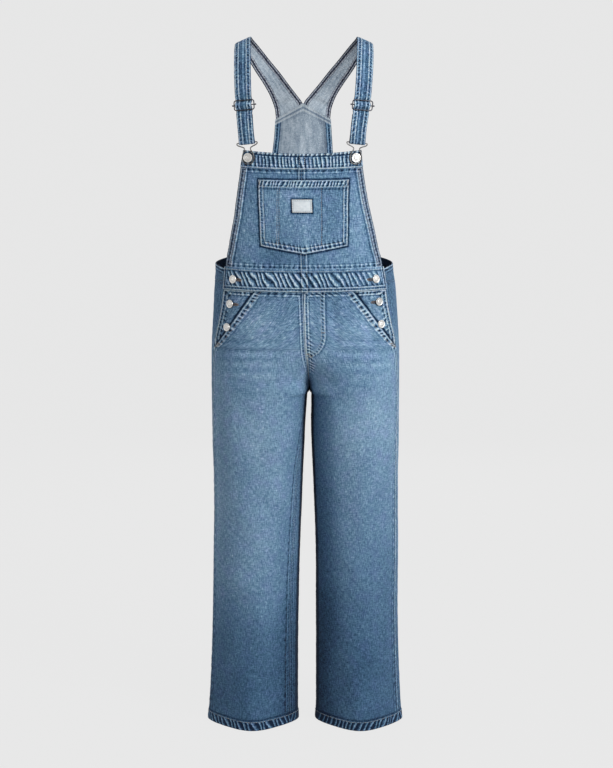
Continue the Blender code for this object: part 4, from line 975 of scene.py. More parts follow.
def bibPocket():
    look = pocketPiece
    tall = look["top"] - look["corner"]
    rows = spaced([(0, 20, 1.2), (20, tall - 22, 1.9), (tall - 22, tall, 1.2)]) / tall
    cols = spaced([(-86, -70, 1.1), (-70, 70, 1.7), (70, 86, 1.1)]) / 86.0
    share, t = np.meshgrid(rows, cols, indexing="ij")
    x, h = pocketPlace(share, t)
    base, normals = frontAt(x, h)
    toSide = (1 - np.abs(t)) * 85.0
    up = share * tall
    down = (1 - share) * tall
    hem = smooth(down, look["hem"] + 0.6, look["hem"] - 0.6)
    relief = look["rope"] * puckers(h, toSide, 10.5, 0.5, 101) * smooth(toSide, 16, 7)
    relief = relief + look["rope"] * 1.2 * puckers(x, up, 9.0, 0.25, 102) * smooth(up, 20, 8)
    relief = relief + look["rope"] * puckers(x, down, 8.5, 0.35, 103) * smooth(down, 22, 13)
    relief = relief + 0.20 * waver(x, h, 15.0, 20.0, 104)
    relief = relief - 0.5 * bump(np.minimum(toSide, np.minimum(up, down)), 0.9)
    # the divided pen pocket leaves two sewn grooves
    for line in (-45.5, 36.5):
        relief = relief - 0.3 * bump(x - line - 0.03 * (h - 1040), 2.2) * smooth(down, 14, 18)
    fade = washAt(1, 1, x, h) - 0.02 + 0.03 * np.exp(-((x - 20) / 40.0) ** 2)
    wear = -0.32 * bump(down - 17.4, 1.8) + 0.20 * bump(down - 14.2, 1.2) + 0.10 * bump(x - 6.0, 6.0) * bump(h - 1000, 30)
    wear = wear - 0.30 * bump(x - 37.5 - 0.03 * (h - 1040), 1.3) * smooth(down, 14, 18) * smooth(up, 8, 14)
    wear = wear - 0.16 * bump(x + 45.5 - 0.03 * (h - 1040), 1.3) * smooth(down, 14, 18) * smooth(up, 8, 14)
    inHem = smooth(down, 14.0, 12.5) * smooth(down, 1.5, 4.0)
    atFoot = smooth(up, 18, 9) * smooth(up, 1.0, 3.0) * smooth(toSide, 3, 8)
    stripes = 0.46 * inHem + 0.34 * atFoot * (1 - inHem) + 0.12 * smooth(down, 26, 16) * smooth(down, 14, 16)
    phase = np.where(down < 40, ropePhase(x, down, 6.6, 0.35, 103), ropePhase(x, up, 8.0, 0.25, 102))
    seam = np.minimum(toSide, np.minimum(up, down))
    along = np.where(toSide <= np.minimum(up, down), h, x)
    # the label's shade
    beside = np.maximum(np.abs(x) - labelPiece["half"], np.maximum(labelPiece["bottom"] - h, h - labelPiece["top"]))
    wear = wear - 0.7 * bump(beside - 1.0, 2.0)
    lift = seamLift(x)
    uv = np.stack([x + 2800.0, h], -1)
    wallMesh("bibPocket", "bib_pocket", rows, cols[None, :] + 0 * x, base, normals, lift,
             lift + look["thick"] + look["hemRise"] * hem + relief, uv,
             {"fade": fade, "wear": wear, "seam": seam, "along": along, "stripes": stripes, "phase": phase,
              "edge": 1.0 - 0.4 * smooth(down, 15, 13), "lively": 0.55}, None, ["bibLeft", "bibRight"])


bibPocket()

def bibLabel():
    look = labelPiece
    rows = np.linspace(look["bottom"], look["top"], 22)
    cols = np.linspace(-look["half"], look["half"], 34)
    h, x = np.meshgrid(rows, cols, indexing="ij")
    base, normals = frontAt(x, h)
    rim = np.minimum(look["half"] - np.abs(x), np.minimum(h - look["bottom"], look["top"] - h))
    lift = seamLift(x) + pocketPiece["thick"] + airGap + 0.25
    curl = look["curl"] * (np.abs(x) / look["half"]) ** 4 * 0.6 + 0.12 * waver(x, h, 16, 12, 111)
    seam = rim
    uv = np.stack([x + 3300.0, h], -1)
    wallMesh("bibLabel", "bib_label", rows, cols[None, :] + 0 * h, base, normals, lift + curl * 0.4,
             lift + look["thick"] + curl - 0.25 * bump(rim, 0.8), uv, {"seam": seam, "insideSkin": 0.0},
             None, ["bibPocket"], labelCloth)


bibLabel()

bandPiece = {"thick": 2.0, "rope": 0.7, "pitch": 11.0, "slant": 0.5, "columns": 300}


def waistband():
    look = bandPiece
    heights = spaced([(bandBottom, bandTop, 1.7)])
    end = seamTurns(1, heights)[0] - 0.4
    t = np.linspace(-1, 1, look["columns"] + 1)
    turn = 90.0 - (90.0 - end[:, None]) * np.abs(t)[None, :]
    side = np.where(t >= 0, 1.0, -1.0)[None, :] + 0 * turn
    h = heights[:, None] + 0 * turn
    base, normals = surfaceAt(side, turn, h)
    x = side * ringX(turn, ringAt(h))
    step = np.linalg.norm(np.diff(base, axis=1), axis=-1)
    arc = np.concatenate([np.zeros((len(heights), 1)), np.cumsum(step, axis=1)], axis=1)
    along = arc - arc[:, -1:] / 2
    toEnd = arc[:, -1:] / 2 - np.abs(along)
    up, down = h - bandBottom, bandTop - h
    between = smooth(up, 7, 12) * smooth(down, 5, 10) * smooth(toEnd, 4, 20)
    fewer = 0.5 + 0.5 * smooth(along, 150, -40)
    rope = puckers(along, up, look["pitch"], look["slant"], 121)
    relief = look["rope"] * rope * (0.2 + 0.8 * between) * fewer
    relief = relief - 0.4 * bump(down - 7.6, 1.2) - 0.35 * bump(up - 2.0, 1.0) - 0.35 * bump(up - 7.6, 1.0) + 0.25 * bump(up - 4.8, 1.6)
    relief = relief - 0.6 * bump(np.minimum(np.minimum(up, down), toEnd), 0.9)
    seamHill = 0.5 * smooth(np.abs(along), 6.8, 5.4)
    fade = washAt(1, 1, x, h) - 0.06 + 0.03 * smooth(along, 20, 110)
    wear = -0.10 * bump(up - 12.0, 2.4)
    wear = wear - 0.40 * bump(np.abs(along) - 7.8, 1.6) + 0.24 * bump(np.abs(along) - 5.2, 1.2) - 0.16 * bump(toEnd - 5.0, 2.0)
    wear = wear - 0.34 * bump(down - 7.0, 1.5) + 0.18 * bump(down - 4.4, 1.1)
    stripes = 0.50 * between * fewer
    seam = np.minimum(up, toEnd)
    uv = np.stack([along + 3800.0, h], -1)
    wallMesh("frontWaistband", "waistband", heights, along, base, normals, airGap, airGap + look["thick"] + seamHill + relief, uv,
             {"fade": fade, "wear": wear, "seam": seam, "along": along, "insideSkin": 0.3, "stripes": stripes, "lively": 0.8,
              "phase": ropePhase(along, up, look["pitch"], look["slant"], 121)}, None,
             ["frontLegRight", "frontLegLeft"])


waistband()
print("bib, pocket, label and bands made")

# ---------- straps ----------
strapRows = (
    (0.9, 99.5, 1254.0, 55.0, 94.5, 1225.5), (2.4, 99.5, 1266.0, 56.2, 94.3, 1239.0),
    (12.3, 98.5, 1279.0, 58.6, 93.5, 1255.0), (30.5, 93.5, 1301.1, 67.4, 88.5, 1277.8),
    (48.5, 83, 1323.8, 81.3, 78, 1301.1), (68.3, 67, 1346.3, 96.9, 64, 1323.4),
    (88.6, 46, 1370.2, 113.5, 46, 1349.0), (101.3, 20, 1383.2, 128.6, 24, 1367.0),
    (104.4, -6, 1385.6, 134.5, -6, 1372.4), (104.2, -36, 1373.0, 135.4, -33, 1361.5),
    (102.7, -66, 1345.0, 134.9, -59, 1338.6), (101.2, -88.6, 1303.0, 133.2, -79.6, 1299.0),
    (98.4, -101.2, 1252.0, 129.6, -91.2, 1250.0))
strapPiece = {"thick": 2.4, "wireRadius": 1.1, "barAir": 0.55, "hookRise": 29.0, "slider": 1248.0, "onBack": 3,
              "columns": 36, "step": 4.0, "sliderShift": 1.0}
buttonPlace = {"x": 102.7, "height": 1149.1, "tilt": 5.0}
wireLevel = airGap + topBandPiece["thick"] + airGap + strapPiece["wireRadius"]


def frameAt(x, height, tilt=0.0):
    # axes on the cloth: across, up and out, turned about out
    point, normal = frontAt(np.array([x]), np.array([height]))
    point, normal = Vector(point[0]), Vector(normal[0])
    up = (Vector((0, 0, 1)) - normal * normal.z).normalized()
    across = up.cross(normal)
    r = math.radians(tilt)
    newUp = up * math.cos(r) + across * math.sin(r)
    return point, newUp.cross(normal), newUp, normal


def placed(axes, u, v, n):
    point, across, up, out = axes
    return point + across * u + up * v + out * n


def splineThrough(points, perSpan):
    result = []
    for i in range(len(points) - 1):
        p0, p1, p2, p3 = points[max(0, i - 1)], points[i], points[i + 1], points[min(len(points) - 1, i + 2)]
        for k in range(perSpan):
            t = k / perSpan
            result.append((p1 * 2 + (p2 - p0) * t + (p0 * 2 - p1 * 5 + p2 * 4 - p3) * t * t + (p1 * 3 - p0 - p2 * 3 + p3) * t ** 3) * 0.5)
    result.append(points[-1])
    return result


def strap(side):
    look = strapPiece
    thick, radius = look["thick"], look["wireRadius"]
    turnRadius = radius + look["barAir"] + thick / 2
    axesBib = frameAt(side * buttonPlace["x"], buttonPlace["height"], buttonPlace["tilt"] * side)
    path = []
    for ix, iy, ih, ox, oy, oh in strapRows:
        pair = []
        for x, y, h in ((ix, iy, ih), (ox, oy, oh)):
            q = warp(np.array(side * x), np.array(0.0), np.array(h))
            pair.append(Vector((q[0], y, q[2])))
        path.append(pair)
    for rise in (look["hookRise"] + 30.0, look["hookRise"]):
        path.append([placed(axesBib, u * side, rise, wireLevel + turnRadius) for u in (-15.4, 15.4)])
    inner = splineThrough([pair[0] for pair in path], 10)
    outer = splineThrough([pair[1] for pair in path], 10)
    centre = [(a + b) / 2 for a, b in zip(inner, outer)]
    length = np.concatenate([[0], np.cumsum([(b - a).length for a, b in zip(centre, centre[1:])])])
    total = float(length[-1])

    def edges(s):
        s = min(max(s, 0.0), total)
        i = max(min(int(np.searchsorted(length, s, side="right")) - 1, len(length) - 2), 0)
        t = (s - length[i]) / (length[i + 1] - length[i])
        return inner[i].lerp(inner[i + 1], t), outer[i].lerp(outer[i + 1], t)

    def axesAt(s):
        a, b = edges(s)
        (a0, b0), (a1, b1) = edges(s - 3.0), edges(s + 3.0)
        down = ((a1 + b1) - (a0 + b0)).normalized()
        return a, b, down, (down.cross(b - a) * side).normalized()

    middle = min(range(len(centre)), key=lambda i: abs(centre[i].z - look["slider"]) + (centre[i].y > 0) * 999)
    sMid = float(length[middle]) + (centre[middle].z - look["slider"])
    onBack = float(length[10 * (look["onBack"] - 1)])
    weaveAt = (-19.0, -15.0, -11.4, -7.8, -2.2, 2.2, 7.8, 11.4, 15.0, 19.0)
    weaveTo = (0.0, -0.4, -2.75, -2.75, 2.75, 2.75, -2.75, -2.75, -0.4, 0.0)

    def crown(s, t):
        far = min(abs(s - sMid) - 16.0, total - s, s - onBack)
        return (1 - (2 * t - 1) ** 2) * min(1.0, max(0.0, far / 14.0))

    stations = list(np.linspace(0, sMid - 20, int((sMid - 20) / look["step"])))
    stations += list(np.linspace(sMid - 20, sMid + 20, 33)[1:])
    stations += list(np.linspace(sMid + 20, total, int((total - sMid - 20) / look["step"]))[1:])
    shares = np.linspace(0, 1, look["columns"] + 1)
    grid, runs = [], []
    for s in stations:
        a, b, down, out = axesAt(s)
        lift = float(np.interp(s - sMid, weaveAt, weaveTo))
        line = []
        for t in shares:
            p = a.lerp(b, float(t)) + out * crown(s, t)
            line.append(p + out * lift)
        if s <= onBack + 8:
            flat = []
            x = np.array([p.x - float(columnAt(leanRows, p.z)) for p in line])
            at, normal = frontAt(x, np.array([p.z for p in line]), -1)
            level = at + normal * (airGap + 0.9 + thick / 2)
            share = 1.0 - float(smooth(s, onBack - 2, onBack + 8))
            for p, q in zip(line, level):
                flat.append(Vector((p.x, p.y + (q[1] - p.y) * share, p.z)))
            line = flat
        grid.append(line)
        runs.append(s)
    a, b, down, out = axesAt(total)
    for angle in (15, 30, 45, 60, 75, 90, 105, 120, 135, 150, 165, 180):
        r = math.radians(angle)
        move = out * (turnRadius * (math.cos(r) - 1)) + down * (turnRadius * math.sin(r))
        grid.append([a.lerp(b, float(t)) + move for t in shares])
        runs.append(total + turnRadius * r)
    for s in np.linspace(total, sMid + 19.0, 12)[1:]:
        a, b, down, out = axesAt(s)
        near = max(0.0, 1.0 - (total - s) / 14.0)
        off = -(thick + 0.6) * (1 - near) - 2 * turnRadius * near
        grid.append([a.lerp(b, float(t)) + out * (off + crown(s, t)) for t in shares])
        runs.append(total + turnRadius * math.pi + total - s)
    base = np.array([[tuple(p) for p in line] for line in grid])
    du, dv = np.gradient(base, axis=1), np.gradient(base, axis=0)
    normals = np.cross(dv, du) * side
    normals /= np.linalg.norm(normals, axis=-1, keepdims=True)
    runs = np.array(runs)
    run = runs[:, None] + 0 * base[..., 0]
    widths = np.linalg.norm(base[:, -1] - base[:, 0], axis=-1)[:, None]
    across = shares[None, :] * widths
    toEdge = np.minimum(across, widths - across)
    free = smooth(np.abs(run - sMid), 12, 17) * smooth(np.abs(run - total - 5), 4, 9)
    rope = puckers(run, toEdge, 8.5, 0.5, 131 + side)
    relief = (0.28 * rope * smooth(toEdge, 12, 7) * free - 0.3 * bump(toEdge - 2.4, 0.9) - 0.3 * bump(toEdge - 8.4, 0.9)
              - 0.5 * bump(toEdge, 0.8))
    relief = relief - 0.35 * smooth(toEdge, 8.6, 10.5) * free - 0.25
    fade = 0.45 + 0.05 * waver(run, across, 60.0, 40.0, 133 + side)
    wear = 0.30 * bump(toEdge - 9.2, 0.9) - 0.16 * bump(toEdge - 11.4, 1.0) - 0.24 * bump(across / widths - 0.55, 0.06)
    wear = wear + 0.20 * bump(across / widths - 0.46, 0.05)
    stripes = 0.22 * bump(toEdge - 5.0, 2.4)
    folded = np.where(run < total, smooth(toEdge, 10.4, 9.4), 0.0)
    backing = 1.0 * (run < total)
    tag = "Right" if side < 0 else "Left"
    uv = np.stack([across + 4300.0 + 60 * side, run], -1)
    wallMesh("strap" + tag, "strap_" + tag.lower(), runs, across, base, normals, -thick / 2, thick / 2 + relief, uv,
             {"fade": fade, "wear": wear, "seam": toEdge, "along": run, "insideSkin": backing, "foldInside": folded,
              "stripes": stripes, "phase": ropePhase(run, toEdge, 7.2, 0.4, 131 + side), "edge": 0.8, "lively": 0.8,
              "wearAndShadeInside": 0.30 * smooth(toEdge, 9, 13) + 0.25 * waver(across, run, 10.0, 90.0, 139)},
             None, ["backUpper", "hook" + tag])
    a, b, down, out = axesAt(sMid)
    across = (b - a).normalized() * side
    return ((a + b) / 2 + across * look["sliderShift"], across, -down, out), total, sMid


sliderAxes, strapEnds = {}, {}
for side in (-1, 1):
    sliderAxes[side], total, sMid = strap(side)
    strapEnds[side] = (total, sMid)
print("straps made")


# ---------- metal parts ----------
def solidPiece(name, node, verts, faces, finish, sharp=40):
    mesh = bpy.data.meshes.new(name)
    mesh.from_pydata(toWorld(np.array(verts, float)).tolist(), [], faces)
    mesh.shade_smooth()
    mesh.set_sharp_from_angle(angle=math.radians(sharp))
    mesh.materials.append(finish)
    obj = bpy.data.objects.new(name, mesh)
    scene.collection.objects.link(obj)
    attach(obj, "root")
    if node:
        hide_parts(node)
    return obj


def wireMesh(points, radius, out, closed, sides=12):
    verts, faces = [], []
    count = len(points)
    for i, p in enumerate(points):
        before = points[i - 1] if closed or i else p
        after = points[(i + 1) % count] if closed or i < count - 1 else p
        along = (after - before).normalized()
        lateral = along.cross(out).normalized()
        for k in range(sides):
            r = 2 * math.pi * k / sides
            verts.append(tuple(p + (lateral * math.cos(r) + out * math.sin(r)) * radius))
    spans = count if closed else count - 1
    for i in range(spans):
        for k in range(sides):
            n, j = (k + 1) % sides, (i + 1) % count
            faces.append((i * sides + k, i * sides + n, j * sides + n, j * sides + k))
    if not closed:
        faces.append(tuple(range(sides))[::-1])
        faces.append(tuple((count - 1) * sides + k for k in range(sides)))
    return outward(verts, faces)


def outward(verts, faces):
    # turns a closed shell's faces outwards by the sign of its volume
    pts = np.array(verts, float)
    volume = 0.0
    for f in faces:
        for k in range(1, len(f) - 1):
            volume += np.dot(pts[f[0]], np.cross(pts[f[k]], pts[f[k + 1]]))
    if volume < 0:
        faces = [tuple(reversed(f)) for f in faces]
    return verts, faces


hookPiece = {
    "outline": ((0, 29.0), (10, 29.0), (18.2, 29.0), (19.9, 28.3), (20.3, 26.6), (18.9, 24.9), (15.6, 23.2), (10.8, 21.4),
                (7.3, 19.6), (6.1, 17.2), (6.2, 14.6), (7.8, 11.6), (9.9, 8.0), (11.2, 3.6), (11.4, -1.2), (10.4, -5.6),
                (7.9, -9.2), (4.3, -11.2), (0, -11.8)),
    "radius": 1.1, "sides": 12,
}


def hook(side):
    axes = frameAt(side * buttonPlace["x"], buttonPlace["height"], buttonPlace["tilt"] * side)
    half = [Vector((u, v, 0)) for u, v in hookPiece["outline"]]
    flat = half + [Vector((-p.x, p.y, 0)) for p in reversed(half[1:-1])]
    loop = flat + [flat[0]]
    fine = splineThrough(loop, 4)[:-1]
    points = [placed(axes, p.x, p.y, wireLevel) for p in fine]
    tag = "Right" if side < 0 else "Left"
    verts, faces = wireMesh(points, hookPiece["radius"], axes[3], True, hookPiece["sides"])
    solidPiece("hook" + tag, "hook_" + tag.lower(), verts, faces, hookSteel, 60)


sliderPiece = {"half": 20.2, "tall": 9.6, "corner": 4.2, "radius": 1.1, "knob": 24.8, "knobRadius": 1.55}


def slider(side):
    look = sliderPiece
    axes = sliderAxes[side]
    outline = []
    for cx, cy, start in ((1, 1, 0), (-1, 1, 90), (-1, -1, 180), (1, -1, 270)):
        for step in range(9):
            r = math.radians(start + 11.25 * step)
            outline.append(placed(axes, cx * (look["half"] - look["corner"]) + look["corner"] * math.cos(r),
                                  cy * (look["tall"] - look["corner"]) + look["corner"] * math.sin(r), 0))
    tag = "Right" if side < 0 else "Left"
    verts, faces = wireMesh(outline, look["radius"], axes[3], True)
    # the bar that the strap passes over, with a flattened knob at each end
    profile = [(-look["knob"], 0.5), (-look["knob"] + 0.5, 1.1), (-look["knob"] + 1.2, look["knobRadius"]),
               (-look["knob"] + 2.6, look["knobRadius"]), (-look["knob"] + 3.3, 1.05)]
    profile = profile + [(-u, r) for u, r in reversed(profile)]
    sides, bar, barFaces = 12, [], []
    for u, radius in profile:
        for k in range(sides):
            r = 2 * math.pi * k / sides
            bar.append(tuple(placed(axes, u, radius * math.cos(r), radius * math.sin(r))))
    for i in range(len(profile) - 1):
        for k in range(sides):
            n = (k + 1) % sides
            barFaces.append((i * sides + k, i * sides + n, (i + 1) * sides + n, (i + 1) * sides + k))
    barFaces.append(tuple(range(sides))[::-1])
    barFaces.append(tuple((len(profile) - 1) * sides + k for k in range(sides)))
    bar, barFaces = outward(bar, barFaces)
    n = len(verts)
    solidPiece("slider" + tag, "slider_" + tag.lower(), verts + bar, faces + [tuple(i + n for i in f) for f in barFaces], gunmetal, 60)


buttonPiece = {"segments": 56, "ribs": 36, "ribHeight": 0.12}


def button(name, node, axes, base, shankTall, shankRadius, cap, capTall):
    # turned cap: rolled rim, a ring of fine ribs in a shallow channel, a low boss in the middle
    look = buttonPiece
    top = base + shankTall
    crown = top + capTall
    profile = [(0.0, base), (shankRadius, base), (shankRadius, top), (cap * 0.8, top), (cap - 0.25, top + 0.2), (cap, top + 0.75),
               (cap - 0.1, top + capTall * 0.62), (cap - 0.5, crown - 0.12), (cap - 1.0, crown), (cap - 1.6, crown - 0.12),
               (cap - 2.0, crown - 0.5), (cap - 2.4, crown - 0.62), (cap * 0.52, crown - 0.62), (cap * 0.46, crown - 0.45),
               (cap * 0.40, crown - 0.22), (cap * 0.32, crown - 0.16), (cap * 0.22, crown - 0.22), (cap * 0.1, crown - 0.34), (0.0, crown - 0.36)]
    verts, faces, steps = [], [], look["segments"]
    rings = []
    for radius, level in profile:
        ring = []
        for k in range(steps if radius > 0 else 1):
            r = 2 * math.pi * k / steps
            rib = look["ribHeight"] * math.cos(look["ribs"] * r) if cap * 0.5 < radius < cap - 2.2 and level > top + 0.5 else 0.0
            ring.append(len(verts))
            verts.append(tuple(placed(axes, radius * math.cos(r), radius * math.sin(r), level + rib)))
        rings.append(ring)
    for a, b in zip(rings, rings[1:]):
        for k in range(steps):
            n = (k + 1) % steps
            if len(a) == 1:
                faces.append((a[0], b[k], b[n]))
            elif len(b) == 1:
                faces.append((a[k], b[0], a[n]))
            else:
                faces.append((a[k], b[k], b[n], a[n]))
    verts, faces = outward(verts, faces)
    made = solidPiece(name, node, verts, faces, nickel, 35)
    # tarnish in the channel and on the boss's edge; painted shade on the underside and shank, and a painted dark
    # outline round the rim
    tone = []
    for radius, level in profile:
        share = radius / cap
        amount = 0.85 if level < top + 0.3 else 0.55 * float(bump(share - 0.62, 0.12)) + 0.6 * float(smooth(share, 0.985, 1.0))
        amount = max(amount, 0.35 * float(bump(share - 0.28, 0.08)))
        tone += [amount] * (steps if radius > 0 else 1)
    data = made.data.attributes.new("dark", "FLOAT", "POINT")
    data.data.foreach_set("value", np.array(tone, np.float32))
    return made


# name, side, x, height, base
buttonRows = (
    ("Waist", "waist", -1, 137.5, 915.0, 2.6), ("Waist", "waist", 1, 137.0, 915.5, 2.6),
    ("HipUpper", "hip_upper", -1, 145.5, 865.5, 0.3), ("HipUpper", "hip_upper", 1, 145.0, 870.0, 0.3),
    ("HipLower", "hip_lower", -1, 152.5, 819.0, 0.3), ("HipLower", "hip_lower", 1, 150.0, 825.5, -0.6))

for side in (-1, 1):
    tag = "Right" if side < 0 else "Left"
    hook(side)
    slider(side)
    bibAxes = frameAt(side * buttonPlace["x"], buttonPlace["height"], buttonPlace["tilt"] * side)
    button("buttonBib" + tag, "button_bib_" + tag.lower(), bibAxes, 2.1, 2.5, 4.0, 9.2, 2.4)
for label, node, side, x, height, base in buttonRows:
    tag = "Right" if side < 0 else "Left"
    button("button" + label + tag, f"button_{node}_{tag.lower()}", frameAt(side * x, height), base, 1.4, 3.2, 8.2, 2.2)
print("metal parts made")


# ---------- sewing ----------
def sewingTree():
    # threads laid along curves: each point carries the cloth's normal and the thread's direction
    tree = bpy.data.node_groups.new("sewnThreads", "GeometryNodeTree")
    face = tree.interface
    face.new_socket("Geometry", in_out="INPUT", socket_type="NodeSocketGeometry")
    ids = {}
    for name, kind in (("Pitch", "NodeSocketFloat"), ("Length", "NodeSocketFloat"), ("Width", "NodeSocketFloat"),
                       ("Height", "NodeSocketFloat"), ("Seed", "NodeSocketInt"), ("Thread", "NodeSocketMaterial")):
        ids[name] = face.new_socket(name, in_out="INPUT", socket_type=kind).identifier
    face.new_socket("Geometry", in_out="OUTPUT", socket_type="NodeSocketGeometry")
    nodes, links = tree.nodes, tree.links

    def add(kind, **settings):
        node = nodes.new(kind)
        for key, value in settings.items():
            setattr(node, key, value)
        return node

    source, result = add("NodeGroupInput"), add("NodeGroupOutput")
    toCurve = add("GeometryNodeMeshToCurve")
    resample = add("GeometryNodeResampleCurve", mode="LENGTH")
    normal = add("GeometryNodeInputNamedAttribute", data_type="FLOAT_VECTOR")
    normal.inputs["Name"].default_value = "clothNormal"
    axis = add("GeometryNodeInputNamedAttribute", data_type="FLOAT_VECTOR")
    axis.inputs["Name"].default_value = "threadAxis"
    turn = add("FunctionNodeAxesToRotation", primary_axis="Z", secondary_axis="X")
    ball = add("GeometryNodeMeshUVSphere")
    ball.inputs["Segments"].default_value, ball.inputs["Rings"].default_value = 6, 3
    ball.inputs["Radius"].default_value = 0.5
    size = add("ShaderNodeCombineXYZ")
    shaped = add("GeometryNodeTransform")
    lay = add("GeometryNodeInstanceOnPoints")
    vary = add("FunctionNodeRandomValue", data_type="FLOAT_VECTOR")
    vary.inputs["Min"].default_value, vary.inputs["Max"].default_value = (0.88, 0.85, 0.9), (1.05, 1.12, 1.15)
    real = add("GeometryNodeRealizeInstances")
    soft = add("GeometryNodeSetShadeSmooth")
    dress = add("GeometryNodeSetMaterial")
    links.new(source.outputs["Geometry"], toCurve.inputs["Mesh"])
    links.new(toCurve.outputs["Curve"], resample.inputs["Curve"])
    links.new(source.outputs["Pitch"], resample.inputs["Length"])
    links.new(resample.outputs["Curve"], lay.inputs["Points"])
    links.new(normal.outputs["Attribute"], turn.inputs["Primary Axis"])
    links.new(axis.outputs["Attribute"], turn.inputs["Secondary Axis"])
    links.new(turn.outputs["Rotation"], lay.inputs["Rotation"])
    links.new(source.outputs["Length"], size.inputs["X"])
    links.new(source.outputs["Width"], size.inputs["Y"])
    links.new(source.outputs["Height"], size.inputs["Z"])
    links.new(ball.outputs["Mesh"], shaped.inputs["Geometry"])
    links.new(size.outputs["Vector"], shaped.inputs["Scale"])
    links.new(shaped.outputs["Geometry"], lay.inputs["Instance"])
    links.new(source.outputs["Seed"], vary.inputs["Seed"])
    links.new(vary.outputs["Value"], lay.inputs["Scale"])
    links.new(lay.outputs["Instances"], real.inputs["Geometry"])
    links.new(real.outputs["Geometry"], soft.inputs["Geometry"])
    links.new(soft.outputs["Geometry"], dress.inputs["Geometry"])
    links.new(source.outputs["Thread"], dress.inputs["Material"])
    links.new(dress.outputs["Geometry"], result.inputs["Geometry"])
    return tree, ids


threadTree, threadIds = sewingTree()


def sewnPiece(name, lines, pitch, length, width, height, thread, seed):
    verts, edges, normals, axes = [], [], [], []
    for points, lineNormals, lineAxes in lines:
        first = len(verts)
        verts.extend(points)
        normals.extend(lineNormals)
        axes.extend(lineAxes)
        edges.extend((first + i, first + i + 1) for i in range(len(points) - 1))
    mesh = bpy.data.meshes.new(name + "Path")
    mesh.from_pydata(toWorld(np.array(verts)).tolist(), edges, [])
    for key, values in (("clothNormal", normals), ("threadAxis", axes)):
        data = mesh.attributes.new(key, "FLOAT_VECTOR", "POINT")
        data.data.foreach_set("vector", np.array(values, np.float32).ravel())
    guide = bpy.data.objects.new(name + "Path", mesh)
    scene.collection.objects.link(guide)
    modifier = guide.modifiers.new("threads", "NODES")
    modifier.node_group = threadTree
    for key, value in (("Pitch", pitch * 0.001), ("Length", length * 0.001), ("Width", width * 0.001), ("Height", height * 0.001),
                       ("Seed", seed), ("Thread", thread)):
        modifier[threadIds[key]] = value
    graph = bpy.context.evaluated_depsgraph_get()
    done = bpy.data.meshes.new_from_object(guide.evaluated_get(graph), preserve_all_data_layers=False, depsgraph=graph)
    done.name = name
    guide.modifiers.remove(modifier)
    bpy.data.objects.remove(guide, do_unlink=True)
    if not done.materials:
        done.materials.append(thread)
    obj = bpy.data.objects.new(name, done)
    scene.collection.objects.link(obj)
    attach(obj, "root")
    print(f"{name}: {len(done.polygons)} faces")
    return obj


def rowOn(panel, rowCols, lift=0.12, across=False, step=3.0):
    # a line of sewing on a panel, through (row, column) places
    piece = panels[panel]
    points, normals = [], []
    places = []
    for (r0, c0), (r1, c1) in zip(rowCols, rowCols[1:]):
        p0, p1 = piece.lookup(r0, c0)[0], piece.lookup(r1, c1)[0]
        count = max(1, int(np.linalg.norm(p1 - p0) / step))
        places += [(r0 + (r1 - r0) * k / count, c0 + (c1 - c0) * k / count) for k in range(count)]
    places.append(rowCols[-1])
    for r, c in places:
        p, n = piece.lookup(r, c)
        points.append(p + n * lift)
        normals.append(n)
    points, normals = np.array(points), np.array(normals)
    tangents = np.gradient(points, axis=0)
    tangents /= np.linalg.norm(tangents, axis=-1, keepdims=True) + 1e-9
    axes = np.cross(normals, tangents) if across else tangents
    return points, normals, axes


sewing = {"pitch": 3.4, "length": 2.8, "width": 1.1, "height": 0.6}
pale, tan, tacks, blue, holes = [], [], [], [], []

# leg panels: rows are heights, columns run inwards from the side edge
for side in (-1, 1):
    tag = "Right" if side < 0 else "Left"
    frontName, backName = "frontLeg" + tag, "backLeg" + tag
    for name in (frontName, backName):
        piece = panels[name]
        wide = piece.cols[12][-1]
        pale.append(rowOn(name, [(14.0, 0.5 + (wide - 1.0) * k / 40) for k in range(41)]))
    def inner(name, h, inset):
        piece = panels[name]
        return float(np.interp(h, piece.rows, piece.cols[:, -1])) - inset
    levels = np.linspace(17, 690, 60)
    blue.append(rowOn(frontName, [(h, inner(frontName, h, 2.2)) for h in levels]))
    blue.append(rowOn(frontName, [(h, inner(frontName, h, 12.0)) for h in np.linspace(17, 660, 60)]))
    blue.append(rowOn(frontName, [(h, 7.6) for h in np.linspace(17, 768, 60)]))
    blue.append(rowOn(backName, [(h, 2.2) for h in np.linspace(17, 770, 60)]))
    blue.append(rowOn(backName, [(h, inner(backName, h, 2.2)) for h in levels]))
    # slanted pocket mouth, two rows, and a tack at its foot
    for inset in (3.2, 12.8):
        pale.append(rowOn(frontName, [(h, inset) for h in np.linspace(779, 892, 30)]))
    for row in (778.0, 781.5, 785.0):
        tacks.append(rowOn(frontName, [(row, 1.5), (row, 10.5)], 0.3, True, 1.0))
    # facing: columns run from the side edge
    for inset in (3.4, 14.3):
        blue.append(rowOn("hipFacing" + tag, [(h, inset) for h in np.linspace(794, 892, 30)]))
    # seat seam
    for inset in (2.2, 8.2):
        tan.append(rowOn(backName, [(h, inner(backName, h, inset)) for h in np.linspace(702, 908, 40)]))
    wide = panels[backName].cols[-2][-1]
    blue.append(rowOn(backName, [(906.4, 2.0 + (wide - 4.0) * k / 50) for k in range(51)]))
    # centre front below the fly
    pale.append(rowOn(frontName, [(h, inner(frontName, h, 2.2)) for h in np.linspace(702, 892, 40)]))

